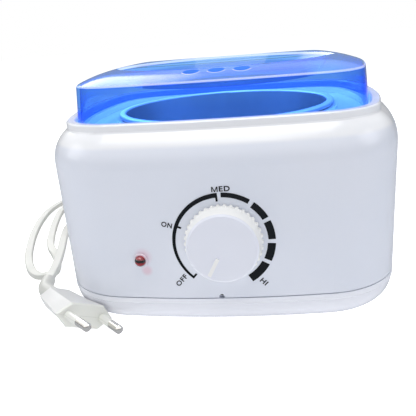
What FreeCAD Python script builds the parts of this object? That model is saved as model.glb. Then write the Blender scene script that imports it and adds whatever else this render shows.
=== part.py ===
import FreeCAD, Part
import math
import os

from FreeCAD import Placement, Rotation, Vector

# Table-top wax heater with a lift-out pot, a see-through lid and a dial thermostat.
# Frame: +Z up, the feet stand on Z = 0, the dial faces -Y. The origin lies under the middle of the
# whole outline, so the housing's own axis stands dims.axis_y behind it. Sizes are millimetres.

DIMENSIONS = {
    # housing plan: eight tangent arcs at the widest level
    "half_width": 85.0,
    "half_depth": 75.2,
    "corner_radius": 36.0,
    "corner_x": 44.7,
    "corner_y": 36.6,
    "axis_y": 4.7,
    # housing section, as insets from the widest outline and heights
    "shell_wall": 2.2,
    "seam_z": 15.9,
    "seam_inset": 0.8,
    "seam_gap": 0.5,
    "widest_z": 76.0,
    "shoulder_radius": 17.8,
    "shoulder_angle": 55.0,
    "neck_inset": 7.9,
    "rim_z": 94.5,
    "rim_inner_inset": 12.3,
    "ledge_z": 90.8,
    "deck_inset": 17.0,
    "deck_z": 87.6,
    "deck_hole_radius": 54.6,
    "collar_radius": 57.2,
    "collar_z": 89.2,
    "post_x": 58.0,
    "post_y": 50.0,
    # base pan and feet
    "pan_floor_z": 1.5,
    "pan_inset": 11.5,
    "pan_wall": 2.2,
    "foot_x": 44.0,
    "foot_y": 34.0,
    "foot_radius": 7.0,
    # pot and fixed bowl
    "pot_rim_radius": 53.4,
    "pot_rim_z": 88.6,
    "pot_floor_z": 32.0,
    "pot_foot_radius": 44.8,
    "pot_corner_radius": 8.0,
    "pot_wall": 1.0,
    "pot_bead": 1.2,
    "bowl_gap": 0.6,
    "bowl_wall": 1.2,
    "bowl_flange_radius": 60.0,
    "bowl_flange_z": 84.8,
    # heater below the bowl
    "plate_radius": 38.0,
    "plate_thickness": 5.0,
    "element_ring_radius": 28.0,
    "element_radius": 3.2,
    "element_lead_x": 8.0,
    "stud_circle_radius": 16.0,
    "stud_radius": 2.0,
    "shield_radius": 45.0,
    "shield_z": 17.0,
    "shield_thickness": 0.8,
    "sleeve_low_z": 42.0,
    "sleeve_high_z": 80.0,
    "sleeve_thickness": 3.0,
    # dial, knob and thermostat
    "dial_x": 2.0,
    "dial_z": 43.2,
    "front_plane": 74.7,
    "knob_back": 0.6,
    "knob_face": 9.3,
    "knob_skirt_radius": 17.1,
    "knob_top_radius": 15.4,
    "knob_flutes": 38,
    "knob_pointer_angle": 27.6,
    "bush_radius": 4.4,
    "shaft_radius": 3.0,
    "thermostat_radius": 13.0,
    "thermostat_depth": 12.0,
    # pilot lamp
    "lamp_x": -36.1,
    "lamp_z": 34.6,
    "lamp_plane": 73.1,
    "lamp_turn": -4.9,
    "lens_radius": 2.5,
    # lid
    "lid_inset_low": 13.3,
    "lid_inset_high": 15.0,
    "lid_foot_z": 91.0,
    "lid_edge_z": 110.2,
    "lid_top_z": 113.8,
    "lid_flat_inset": 32.5,
    "lid_wall": 1.9,
    "grip_half_length": 57.5,
    "grip_half_width": 43.5,
    "grip_floor_z": 106.0,
    "grip_slope": 9.0,
    "vent_radius": 3.6,
    "vent_pitch": 11.2,
    "vent_x": 1.2,
    "vent_y": -48.6,
    # mains cord, gland and plug
    "cord_diameter": 4.8,
    "gland_x": 30.0,
    "gland_z": 24.0,
    "gland_plane": 73.4,
    "gland_turn": 4.1,
    "gland_length": 26.0,
    "tail_length": 13.0,
    "clamp_reach": 16.0,
    "plug_x": -63.6,
    "plug_y": -74.5,
    "plug_z": 10.0,
    "plug_width": 29.6,
    "plug_height": 11.4,
    "plug_flat": 16.7,
    "plug_block": 12.0,
    "plug_length": 33.5,
    "pin_spacing": 17.6,
    "pin_lean": 2.6,
    "pin_radius": 2.0,
    "pin_length": 18.5,
    "pin_sleeve": 10.0,
}

# The plug lies on one facet: turn about Z, tilt about X, roll about Y, in degrees.
PLUG_TURN, PLUG_TILT, PLUG_ROLL = 45.3, -3.1, 26.7

doc = FreeCAD.newDocument("wax_heater")
sheet = doc.addObject("Spreadsheet::Sheet", "dims")
for line, (alias, value) in enumerate(DIMENSIONS.items(), start=1):
    sheet.set("A%d" % line, alias)
    sheet.set("B%d" % line, str(value))
    sheet.setAlias("B%d" % line, alias)
doc.recompute()


class Dims:
    """Reads a dimension of the sheet by its alias."""

    def __getattr__(self, alias):
        return float(sheet.get(alias))


d = Dims()
AXIS = Vector(0, d.axis_y, 0)
UP = Vector(0, 0, 1)
parts = {}


# ---------------------------------------------------------------- helpers: PartDesign bodies

def new_body(label):
    """A PartDesign body that becomes the node of that name."""
    body = doc.addObject("PartDesign::Body", label)
    body.Label = label
    parts[label] = body
    return body


def new_sketch(body, role, name):
    """A sketch on one of the body's own origin planes."""
    plane = next(o for o in body.Origin.OriginFeatures if o.Role == role)
    sketch = body.newObject("Sketcher::SketchObject", name)
    sketch.AttachmentSupport = (plane, [""])
    sketch.MapMode = "FlatFace"
    return sketch


def bind_point(sketch, geometry, expression, axis):
    """Ties one coordinate of a line's start point to an expression of the sheet."""
    import Sketcher
    kind = {"x": "DistanceX", "y": "DistanceY"}[axis]
    if expression == "0":
        line_index = {"x": -2, "y": -1}[axis]
        sketch.addConstraint(Sketcher.Constraint("PointOnObject", geometry, 1, line_index))
        return
    index = sketch.addConstraint(Sketcher.Constraint(kind, -1, 1, geometry, 1, 1.0))
    sketch.setExpression("Constraints[%d]" % index, expression)


def word_value(word):
    """Number behind one word of an expression: an alias of the sheet or a plain number."""
    return getattr(d, word[5:]) if word.startswith("dims.") else float(word)


def value_of(expression):
    """Number that a plain expression such as 'dims.a - 2 * dims.b' gives."""
    words = expression.split()
    total, sign, term = 0.0, 1, word_value(words[0])
    for operator, word in zip(words[1::2], words[2::2]):
        if operator in "*/":
            term *= word_value(word) if operator == "*" else 1 / word_value(word)
        else:
            total += sign * term
            sign, term = (1 if operator == "+" else -1), word_value(word)
    return total + sign * term


def closed_profile(sketch, corners):
    """Draws a closed outline whose corners are pairs of expressions."""
    import Sketcher
    points = [Vector(value_of(x), value_of(y), 0) for x, y in corners]
    count = len(points)
    for index in range(count):
        sketch.addGeometry(Part.LineSegment(points[index], points[(index + 1) % count]), False)
    for index in range(count):
        sketch.addConstraint(Sketcher.Constraint("Coincident", index, 2, (index + 1) % count, 1))
    for index, (x, y) in enumerate(corners):
        bind_point(sketch, index, x, "x")
        bind_point(sketch, index, y, "y")


def revolved(label, corners):
    """Body turned about Z from a profile of (radius, height) expressions."""
    body = new_body(label)
    sketch = new_sketch(body, "XZ_Plane", label + "_profile")
    closed_profile(sketch, corners)
    turn = body.newObject("PartDesign::Revolution", label + "_turn")
    turn.Profile = sketch
    turn.ReferenceAxis = (sketch, ["V_Axis"])
    turn.Angle = 360
    body.Tip = turn
    return body


def primitive(kind, name, sizes, base=Vector(0, 0, 0), rotation=Rotation()):
    """Part primitive whose sizes are expressions of the sheet."""
    solid = doc.addObject("Part::" + kind, name)
    for size, expression in sizes.items():
        solid.setExpression(size, expression)
    solid.Placement = Placement(base, rotation)
    return solid


def cut_node(label, base, tools, placement):
    """Node made by cutting primitives out of a primitive."""
    tool = tools[0]
    if len(tools) > 1:
        tool = doc.addObject("Part::MultiFuse", label + "_tools")
        tool.Shapes = tools
    node = doc.addObject("Part::Cut", label)
    node.Label = label
    node.Base = base
    node.Tool = tool
    node.Placement = placement
    parts[label] = node
    return node


def ring_edge(*places):
    """Test for the round edges at the given (radius, height) places."""
    def test(point, edge):
        radius = math.hypot(point.x, point.y)
        return any(abs(radius - r) < 0.02 and abs(point.z - z) < 0.02 for r, z in places)
    return test


def edge_names(feature, test):
    """Names of a feature's edges whose middle point passes the test."""
    names = []
    for index, edge in enumerate(feature.Shape.Edges, start=1):
        middle = edge.valueAt((edge.FirstParameter + edge.LastParameter) / 2)
        if test(middle, edge):
            names.append("Edge%d" % index)
    return names


def fillet(body, radius, test, name):
    """Rounds the edges of the body's tip that pass the test."""
    doc.recompute()
    base = body.Tip
    names = edge_names(base, test)
    if not names:
        raise RuntimeError("no edge to round for " + name)
    feature = body.newObject("PartDesign::Fillet", name)
    feature.Base = (base, names)
    feature.Radius = radius
    body.Tip = feature
    return feature


def add_shape(label, shape, placement=None):
    """Node whose shape is worked out with Part's own functions."""
    feature = doc.addObject("Part::Feature", label)
    feature.Label = label
    feature.Shape = shape
    if placement is not None:
        feature.Placement = placement.multiply(feature.Placement)
    parts[label] = feature
    return feature


def cylinder(radius, length, base, direction=UP):
    """Solid cylinder from a base point along a direction."""
    return Part.makeCylinder(radius, length, base, direction)


# ---------------------------------------------------------------- helpers: rounded-square plan

class Plan:
    """Housing plan of eight tangent arcs; an inset moves the whole outline inwards."""

    def __init__(self):
        a, b, r = d.half_width, d.half_depth, d.corner_radius
        x, y = d.corner_x, d.corner_y
        side_x = a - x
        side_y = b - y
        self.front_radius = (x * x + side_y * side_y - r * r) / (2 * (side_y - r))
        self.side_radius = (y * y + side_x * side_x - r * r) / (2 * (side_x - r))
        front_y = self.front_radius - b
        side_centre = a - self.side_radius
        low = math.atan2(-y - front_y, x)
        high = math.atan2(-y, x - side_centre)
        turn = math.pi
        self.arcs = [
            (Vector(0, front_y, 0), self.front_radius, -turn - low, low),
            (Vector(x, -y, 0), r, low, high),
            (Vector(side_centre, 0, 0), self.side_radius, high, -high),
            (Vector(x, y, 0), r, -high, -low),
            (Vector(0, -front_y, 0), self.front_radius, -low, turn + low),
            (Vector(-x, y, 0), r, turn + low, turn + high),
            (Vector(-side_centre, 0, 0), self.side_radius, turn + high, turn - high),
            (Vector(-x, -y, 0), r, turn - high, turn - low),
        ]

    def ring(self, profile):
        """Solid swept round the plan from a closed profile of (inset, height) corners.

        A corner given as a pair of pairs is the middle and the end of an arc.
        """
        pieces = []
        for centre, radius, start, end in self.arcs:
            outward = Vector(math.cos(start), math.sin(start), 0)
            wire = profile_wire(profile, lambda p: centre + outward * (radius - p[0]) + UP * p[1])
            face = Part.Face(wire)
            pieces.append(face.revolve(centre, UP, math.degrees(end - start)))
        return pieces[0].fuse(pieces[1:]).removeSplitter()

    def prism(self, inset, low, high):
        """Upright solid that fills the plan at that inset between two heights."""
        edges = []
        for centre, radius, start, end in self.arcs:
            circle = Part.Circle(centre + UP * low, UP, radius - inset)
            edges.append(circle.toShape(start, end))
        return Part.Face(Part.Wire(edges)).extrude(UP * (high - low))


def profile_wire(profile, place):
    """Closed wire through the profile's corners; a nested pair is an arc."""
    edges = []
    last = place(profile[0])
    for corner in profile[1:] + [profile[0]]:
        if isinstance(corner[0], tuple):
            middle, end = place(corner[0]), place(corner[1])
            edges.append(Part.Arc(last, middle, end).toShape())
        else:
            end = place(corner)
            edges.append(Part.LineSegment(last, end).toShape())
        last = end
    return Part.Wire(edges)


def revolve_profile(profile, degrees=360):
    """Solid of revolution about Z from (radius, height) corners and arcs."""
    face = Part.Face(profile_wire(profile, lambda p: Vector(p[0], 0, p[1])))
    return face.revolve(Vector(0, 0, 0), UP, degrees)


def dome(radius, low, high):
    """Profile arc over a cap of a sphere, from (radius, low) to the axis at the top."""
    rise = high - low
    sphere = (radius ** 2 + rise ** 2) / (2 * rise)
    half = math.atan2(radius, sphere - rise) / 2
    middle = (sphere * math.sin(half), high - sphere + sphere * math.cos(half))
    return (middle, (0.0, high))


def around(points, shape):
    """Compound of copies of one solid moved to each point."""
    copies = []
    for point in points:
        copy = shape.copy()
        copy.translate(point)
        copies.append(copy)
    return Part.makeCompound(copies)


def corners_of(x, y):
    """The four places at plus and minus x and y."""
    return [Vector(sx * x, sy * y, 0) for sx in (-1, 1) for sy in (-1, 1)]


plan = Plan()


# ---------------------------------------------------------------- frames of the turned-out parts

def facing_front(x, plane, z, turn=0):
    """Placement whose local +Z points out of the front wall, local +Y up."""
    rotation = Rotation(UP, turn).multiply(Rotation(Vector(1, 0, 0), 90))
    return Placement(AXIS + Vector(x, -plane, z), rotation)


def facing_back(x, plane, z, turn=0):
    """Placement whose local +Z points out of the back wall."""
    rotation = Rotation(UP, -turn).multiply(Rotation(Vector(1, 0, 0), -90))
    return Placement(AXIS + Vector(x, plane, z), rotation)


dial_frame = facing_front(d.dial_x, d.front_plane, d.dial_z)
lamp_frame = facing_front(d.lamp_x, d.lamp_plane, d.lamp_z, d.lamp_turn)
gland_frame = facing_back(d.gland_x, d.gland_plane, d.gland_z, d.gland_turn)
plug_rotation = (Rotation(UP, PLUG_TURN)
                 .multiply(Rotation(Vector(1, 0, 0), PLUG_TILT))
                 .multiply(Rotation(Vector(0, 1, 0), PLUG_ROLL)))
plug_frame = Placement(Vector(d.plug_x, d.plug_y, d.plug_z),
                       plug_rotation.multiply(Rotation(Vector(1, 0, 0), 90)))
centre_frame = Placement(AXIS, Rotation())


def hole_through(frame, radius, depth):
    """Cutting cylinder along a frame's axis, both ways from its plane."""
    tool = cylinder(radius, 2 * depth, Vector(0, 0, -depth))
    tool.Placement = frame
    return tool


def to_centre(shape):
    """The same solid seen from the housing's own axis."""
    moved = shape.copy()
    moved.translate(AXIS * -1)
    return moved


# ---------------------------------------------------------------- housing

BOWL_SCREW_CIRCLE = 63.0
POST_RADIUS = 4.0
POST_FOOT_Z = 9.9
PAN_BOSS_Z = 9.7


def bowl_screw_places():
    """Four places at 45 degrees round the bowl flange."""
    reach = BOWL_SCREW_CIRCLE * math.cos(math.radians(45))
    return corners_of(reach, reach)


def make_upper_housing():
    """Shell with shoulder, neck, rim, lid ledge, deck, collar, posts and holes."""
    wall = d.shell_wall
    r = d.shoulder_radius
    half = math.radians(d.shoulder_angle / 2)
    full = math.radians(d.shoulder_angle)
    inner = r - wall
    inner_full = full - math.radians(3)

    def on_shoulder(radius, angle):
        return (r - radius * math.cos(angle), d.widest_z + radius * math.sin(angle))

    lip = 0.6
    profile = [
        (d.seam_inset, d.seam_z),
        (0.0, d.widest_z),
        (on_shoulder(r, half), on_shoulder(r, full)),
        (d.neck_inset, d.rim_z - 3.2),
        (d.neck_inset, d.rim_z - lip),
        (d.neck_inset + lip, d.rim_z),
        (d.rim_inner_inset - lip, d.rim_z),
        (d.rim_inner_inset, d.rim_z - lip),
        (d.rim_inner_inset, d.ledge_z),
        (d.deck_inset, d.ledge_z),
        (d.deck_inset, d.deck_z),
        (d.deck_inset + 3, d.deck_z),
        (d.deck_inset + 3, d.deck_z - wall),
        (d.deck_inset - wall, d.deck_z - wall),
        (d.deck_inset - wall, d.ledge_z - wall),
        on_shoulder(inner, inner_full),
        (on_shoulder(inner, inner_full / 2), (wall, d.widest_z)),
        (d.seam_inset + wall, d.seam_z),
    ]
    shell = plan.ring(profile)
    deck = plan.prism(d.deck_inset + 2.5, d.deck_z - wall, d.deck_z)
    collar = cylinder(d.collar_radius, d.collar_z - d.deck_z + 1, Vector(0, 0, d.deck_z - 1))
    body = shell.fuse([deck, collar])
    deck_under = d.deck_z - wall
    post = cylinder(POST_RADIUS, deck_under + 0.5 - POST_FOOT_Z, Vector(0, 0, POST_FOOT_Z))
    posts = [move(post, place) for place in corners_of(d.post_x, d.post_y)]
    flange_low = d.bowl_flange_z - d.bowl_wall
    boss = cylinder(2.8, deck_under + 0.5 - flange_low, Vector(0, 0, flange_low))
    bosses = [move(boss, place) for place in bowl_screw_places()]
    body = body.fuse(posts + bosses)
    cuts = [cylinder(d.deck_hole_radius, 20, Vector(0, 0, d.deck_z - 10))]
    cuts += [move(cylinder(1.6, 26, Vector(0, 0, POST_FOOT_Z - 1)), place)
             for place in corners_of(d.post_x, d.post_y)]
    cuts += [move(cylinder(1.4, 3.6, Vector(0, 0, flange_low - 0.1)), place)
             for place in bowl_screw_places()]
    cuts.append(to_centre(hole_through(dial_frame, d.bush_radius + 0.3, 6)))
    cuts.append(to_centre(hole_through(lamp_frame, 3.2, 6)))
    cuts.append(to_centre(hole_through(gland_frame, 4.5, 6)))
    notch = Part.makeBox(2.4, 3.0, 1.8, Vector(-1.9, -d.half_depth - 0.5, d.seam_z - 0.6))
    cuts.append(notch)
    body = body.cut(cuts)
    add_shape("upper_housing", body.removeSplitter(), centre_frame)


def move(shape, offset):
    """Copy of a shape moved by an offset."""
    copy = shape.copy()
    copy.translate(offset)
    return copy


def make_base_pan():
    """Lower pan with a lip inside the housing, screw bosses, foot sockets and vents."""
    top = d.seam_z - d.seam_gap
    low = d.pan_floor_z
    floor = low + d.pan_wall
    band_z = top - 2.9
    profile = [
        (d.seam_inset, top),
        (d.seam_inset, band_z + 0.4),
        (d.seam_inset + 0.4, band_z),
        ((4.25, 4.75), (d.pan_inset, low)),
        (16.0, low),
        (16.0, floor),
        (13.5, floor),
        ((6.9, 7.0), (4.6, band_z)),
        (4.6, top + 3.4),
        (3.2, top + 3.4),
        (3.2, top),
    ]
    pan = plan.ring(profile).fuse(plan.prism(15.5, low, floor))
    boss = cylinder(6.2, PAN_BOSS_Z - low, Vector(0, 0, low))
    pan = pan.fuse([move(boss, place) for place in corners_of(d.post_x, d.post_y)])
    cuts = []
    for place in corners_of(d.post_x, d.post_y):
        cuts.append(move(cylinder(4.2, 4.2, Vector(0, 0, low)), place))
        cuts.append(move(cylinder(1.9, 12, Vector(0, 0, low)), place))
    for place in corners_of(d.foot_x, d.foot_y):
        cuts.append(move(cylinder(d.foot_radius + 0.2, 1.0, Vector(0, 0, low)), place))
        cuts.append(move(cylinder(2.6, 6, Vector(0, 0, low)), place))
    cuts.append(to_centre(hole_through(gland_frame, 6.9, 9)))
    slot_width, slot_length, slot_pitch, slot_count = 3.0, 26.0, 8.0, 7
    for index in range(slot_count):
        x = (index - (slot_count - 1) / 2) * slot_pitch
        corner = Vector(x - slot_width / 2, -slot_length / 2, low - 1)
        cuts.append(Part.makeBox(slot_width, slot_length, 5, corner))
    add_shape("base_pan", pan.cut(cuts).removeSplitter(), centre_frame)


def make_feet_and_screws():
    """Push-in rubber feet and the four screws that close the pan."""
    foot = revolve_profile([
        (0.0, 0.0), (d.foot_radius - 0.6, 0.0), (d.foot_radius, 0.6), (d.foot_radius, 2.4),
        (2.5, 2.4), (2.5, 3.9), (3.4, 4.0), (2.0, 5.4), (0.0, 5.4),
    ])
    add_shape("rubber_feet", around(corners_of(d.foot_x, d.foot_y), foot), centre_frame)
    screw = revolve_profile([
        (0.0, 3.4), (2.6, 3.4), (3.4, 4.2), (3.4, 5.65), (1.5, 5.65), (1.5, 22.0), (0.0, 23.5),
    ])
    recess = Part.makeBox(3.6, 0.8, 1.2, Vector(-1.8, -0.4, 3.0))
    cross = Part.makeBox(0.8, 3.6, 1.2, Vector(-0.4, -1.8, 3.0))
    screw = screw.cut([recess, cross])
    add_shape("base_screws", around(corners_of(d.post_x, d.post_y), screw), centre_frame)


# ---------------------------------------------------------------- pot, bowl and heater

def make_wax_pot():
    """Drawn aluminium pot with a rolled rim."""
    pot = revolved("wax_pot", [
        ("0", "dims.pot_floor_z"),
        ("dims.pot_foot_radius", "dims.pot_floor_z"),
        ("dims.pot_rim_radius", "dims.pot_rim_z"),
        ("dims.pot_rim_radius", "dims.pot_rim_z + 0.9"),
        ("dims.pot_rim_radius + 2 * dims.pot_bead", "dims.pot_rim_z + 0.9"),
        ("dims.pot_rim_radius + 2 * dims.pot_bead", "dims.pot_rim_z + 0.9 + 2 * dims.pot_bead"),
        ("dims.pot_rim_radius - dims.pot_wall", "dims.pot_rim_z + 0.9 + 2 * dims.pot_bead"),
        ("dims.pot_foot_radius - dims.pot_wall", "dims.pot_floor_z + dims.pot_wall"),
        ("0", "dims.pot_floor_z + dims.pot_wall"),
    ])
    floor, foot, corner, wall = d.pot_floor_z, d.pot_foot_radius, d.pot_corner_radius, d.pot_wall
    bead_low = d.pot_rim_z + 0.9
    bead_high = bead_low + 2 * d.pot_bead
    bead_radius = d.pot_rim_radius + 2 * d.pot_bead
    fillet(pot, corner, ring_edge((foot, floor)), "pot_corner")
    fillet(pot, corner - wall, ring_edge((foot - wall, floor + wall)), "pot_inner_corner")
    bead_edges = ring_edge((bead_radius, bead_low), (bead_radius, bead_high))
    fillet(pot, d.pot_bead * 0.95, bead_edges, "pot_bead")
    fillet(pot, 0.8, ring_edge((d.pot_rim_radius - wall, bead_high)), "pot_mouth")
    pot.Placement = centre_frame


def make_heating_bowl():
    """Fixed well that follows the pot with a small gap, with a flat flange."""
    bowl = revolved("heating_bowl", [
        ("0", "dims.pot_floor_z - dims.bowl_gap - dims.bowl_wall"),
        ("dims.pot_foot_radius + 1.53", "dims.pot_floor_z - dims.bowl_gap - dims.bowl_wall"),
        ("dims.pot_rim_radius + 1.04", "dims.bowl_flange_z - dims.bowl_wall"),
        ("dims.bowl_flange_radius", "dims.bowl_flange_z - dims.bowl_wall"),
        ("dims.bowl_flange_radius", "dims.bowl_flange_z"),
        ("dims.pot_rim_radius + 0.02", "dims.bowl_flange_z"),
        ("dims.pot_foot_radius + 0.51", "dims.pot_floor_z - dims.bowl_gap"),
        ("0", "dims.pot_floor_z - dims.bowl_gap"),
    ])
    inner_z = d.pot_floor_z - d.bowl_gap
    corner = d.pot_corner_radius + d.bowl_gap
    fillet(bowl, corner, ring_edge((d.pot_foot_radius + 0.51, inner_z)), "bowl_inner_corner")
    outer = ring_edge((d.pot_foot_radius + 1.53, inner_z - d.bowl_wall))
    fillet(bowl, corner + d.bowl_wall, outer, "bowl_corner")
    bowl.Placement = centre_frame
    ring = primitive("Cylinder", "seal_ring", {
        "Radius": "dims.bowl_flange_radius - 0.6",
        "Height": "dims.deck_z - dims.shell_wall - dims.bowl_flange_z",
    })
    bore = primitive("Cylinder", "seal_bore", {
        "Radius": "dims.pot_rim_radius + 0.4",
        "Height": "5",
    }, Vector(0, 0, -1))
    seat = centre_frame.multiply(Placement(UP * d.bowl_flange_z, Rotation()))
    cut_node("bowl_seal", ring, [bore], seat)
    flange_low = d.bowl_flange_z - d.bowl_wall
    screw = revolve_profile([
        (0.0, flange_low - 2.0), (2.4, flange_low - 2.0), (4.4, flange_low - 1.0),
        (4.4, flange_low), (1.3, flange_low), (1.3, flange_low + 3.3), (0.0, flange_low + 3.3),
    ])
    add_shape("bowl_screws", around(bowl_screw_places(), screw), centre_frame)


def plate_top():
    """Height of the bowl's underside, where the heater plate sits."""
    return d.pot_floor_z - d.bowl_gap - d.bowl_wall


def make_heater():
    """Plate with a grooved-in ring element, studs, nuts and the heat shield."""
    top = plate_top()
    low = top - d.plate_thickness
    ring_z = low
    lead_y = -math.sqrt(d.element_ring_radius ** 2 - d.element_lead_x ** 2)
    lead_end = -46.0
    start = math.degrees(math.atan2(lead_y, d.element_lead_x))

    def element(radius, lead_radius):
        ring = Part.makeTorus(d.element_ring_radius, radius, Vector(0, 0, 0), UP, -180, 180,
                              360 - 2 * (start + 90))
        ring.rotate(Vector(0, 0, 0), UP, start)
        pieces = []
        for x in (-d.element_lead_x, d.element_lead_x):
            pieces.append(Part.makeSphere(radius, Vector(x, lead_y, 0)))
            lead = cylinder(lead_radius, lead_y - lead_end, Vector(x, lead_end, 0), Vector(0, 1, 0))
            pieces.append(lead)
        body = ring.fuse(pieces)
        body.translate(UP * ring_z)
        return body

    plate = cylinder(d.plate_radius, d.plate_thickness, Vector(0, 0, low))
    plate = plate.cut(element(d.element_radius + 0.1, 1.8))
    studs = []
    nuts = []
    hexagon = Part.makePolygon([Vector(4 * math.cos(math.radians(60 * k)),
                                       4 * math.sin(math.radians(60 * k)), 0) for k in range(7)])
    nut = Part.Face(hexagon).extrude(UP * 3).cut(cylinder(d.stud_radius + 0.03, 8, Vector(0, 0, -2)))
    shield_low = d.shield_z
    for k in range(3):
        angle = math.radians(90 + 120 * k)
        place = Vector(math.cos(angle), math.sin(angle), 0) * d.stud_circle_radius
        studs.append(move(cylinder(d.stud_radius, low - 11.0, Vector(0, 0, 11.0)), place))
        nuts.append(move(nut, place + UP * (shield_low - 3.05)))
        nuts.append(move(nut, place + UP * (shield_low + d.shield_thickness + 0.05)))
    add_shape("heater_plate", plate.removeSplitter(), centre_frame)
    add_shape("heater_element", element(d.element_radius, 1.6).removeSplitter(), centre_frame)
    add_shape("heater_studs", Part.makeCompound(studs), centre_frame)
    add_shape("heater_nuts", Part.makeCompound(nuts), centre_frame)


def make_heat_shield():
    """Steel dish between the heater and the pan, hung on the studs."""
    shield = revolved("heat_shield", [
        ("6", "dims.shield_z"),
        ("dims.shield_radius", "dims.shield_z"),
        ("dims.shield_radius", "dims.shield_z + 4"),
        ("dims.shield_radius - dims.shield_thickness", "dims.shield_z + 4"),
        ("dims.shield_radius - dims.shield_thickness", "dims.shield_z + dims.shield_thickness"),
        ("6", "dims.shield_z + dims.shield_thickness"),
    ])
    import Sketcher
    holes = new_sketch(shield, "XY_Plane", "stud_hole")
    holes.addGeometry(Part.Circle(Vector(0, d.stud_circle_radius, 0), UP, d.stud_radius + 0.2), False)
    holes.addConstraint(Sketcher.Constraint("PointOnObject", 0, 3, -2))
    reach = holes.addConstraint(Sketcher.Constraint("DistanceY", -1, 1, 0, 3, d.stud_circle_radius))
    size = holes.addConstraint(Sketcher.Constraint("Radius", 0, d.stud_radius + 0.2))
    holes.setExpression("Constraints[%d]" % reach, "dims.stud_circle_radius")
    holes.setExpression("Constraints[%d]" % size, "dims.stud_radius + 0.2")
    pocket = shield.newObject("PartDesign::Pocket", "stud_pocket")
    pocket.Profile = holes
    pocket.Type = 1
    pocket.Midplane = True
    shield.Tip = pocket
    doc.recompute()
    pattern = shield.newObject("PartDesign::PolarPattern", "stud_holes")
    pattern.Originals = [pocket]
    pattern.Axis = (holes, ["N_Axis"])
    pattern.Angle = 360
    pattern.Occurrences = 3
    shield.Tip = pattern
    doc.recompute()
    pierced = shield.Shape.Volume
    if not pierced < 0.999 * math.pi * d.shield_radius ** 2 * 5:
        raise RuntimeError("the heat shield has no stud holes")
    shield.Placement = centre_frame


def make_insulation_sleeve():
    """Glass fibre sleeve that follows the bowl's taper."""
    sleeve = revolved("insulation_sleeve", [
        ("dims.pot_foot_radius + 3.62", "dims.sleeve_low_z"),
        ("dims.pot_foot_radius + 3.62 + dims.sleeve_thickness", "dims.sleeve_low_z"),
        ("dims.pot_rim_radius + 0.8 + dims.sleeve_thickness", "dims.sleeve_high_z"),
        ("dims.pot_rim_radius + 0.8", "dims.sleeve_high_z"),
    ])
    sleeve.Placement = centre_frame


def make_thermal_fuse():
    """Axial cut-out in a clip on the right side of the heater plate."""
    z = plate_top() - 3.4
    reach = 41.2
    fuse = cylinder(2.0, 11.0, Vector(reach, -5.5, z), Vector(0, 1, 0))
    fuse = fuse.fuse(cylinder(0.6, 19.0, Vector(reach, -9.5, z), Vector(0, 1, 0)))
    add_shape("thermal_fuse", fuse, centre_frame)
    ring = cylinder(2.9, 4.0, Vector(reach, -2.0, z), Vector(0, 1, 0))
    bridge = Part.makeBox(1.2, 4.0, 2.4, Vector(d.plate_radius + 0.02, -2.0, z - 1.2))
    clip = ring.fuse(bridge).cut(cylinder(2.05, 12, Vector(reach, -6, z), Vector(0, 1, 0)))
    clip = clip.cut(cylinder(d.plate_radius + 0.02, 12, Vector(0, 0, z - 6)))
    add_shape("fuse_clip", clip, centre_frame)


# ---------------------------------------------------------------- dial, knob and thermostat

def make_thermostat():
    """Dial thermostat behind the front wall; its bush comes through the wall."""
    body = revolved("thermostat_body", [
        ("dims.shaft_radius + 0.05", "3.2"),
        ("dims.bush_radius", "3.2"),
        ("dims.bush_radius", "0 - 2.6"),
        ("dims.thermostat_radius", "0 - 2.6"),
        ("dims.thermostat_radius", "0 - 2.6 - dims.thermostat_depth"),
        ("dims.shaft_radius + 0.05", "0 - 2.6 - dims.thermostat_depth"),
    ])
    body.Placement = dial_frame
    rear = -2.6 - d.thermostat_depth
    shaft = cylinder(d.shaft_radius, 18.4, Vector(0, 0, -10.0))
    flat = Part.makeBox(10, 3, 5.2, Vector(-5, d.shaft_radius - 1.0, 4.0))
    add_shape("thermostat_shaft", shaft.cut(flat), dial_frame)
    washer = revolved("thermostat_washer", [
        ("dims.bush_radius + 0.2", "0.2"),
        ("7.6", "0.2"),
        ("7.6", "0.9"),
        ("dims.bush_radius + 0.2", "0.9"),
    ])
    washer.Placement = dial_frame
    corner = 7.2
    hexagon = Part.makePolygon([Vector(corner * math.cos(math.radians(60 * k)),
                                       corner * math.sin(math.radians(60 * k)), 0.92)
                                for k in range(7)])
    nut = Part.Face(hexagon).extrude(UP * 2.2)
    nut = nut.cut(cylinder(d.bush_radius + 0.03, 8, Vector(0, 0, -2)))
    add_shape("thermostat_nut", nut, dial_frame)
    tab = Part.makeBox(0.8, 6.3, 4.6, Vector(-0.4, -3.15, rear - 4.62))
    tabs = around([Vector(-9.0, 0, 0), Vector(9.0, 0, 0)], tab)
    add_shape("thermostat_tabs", tabs, dial_frame)


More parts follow.
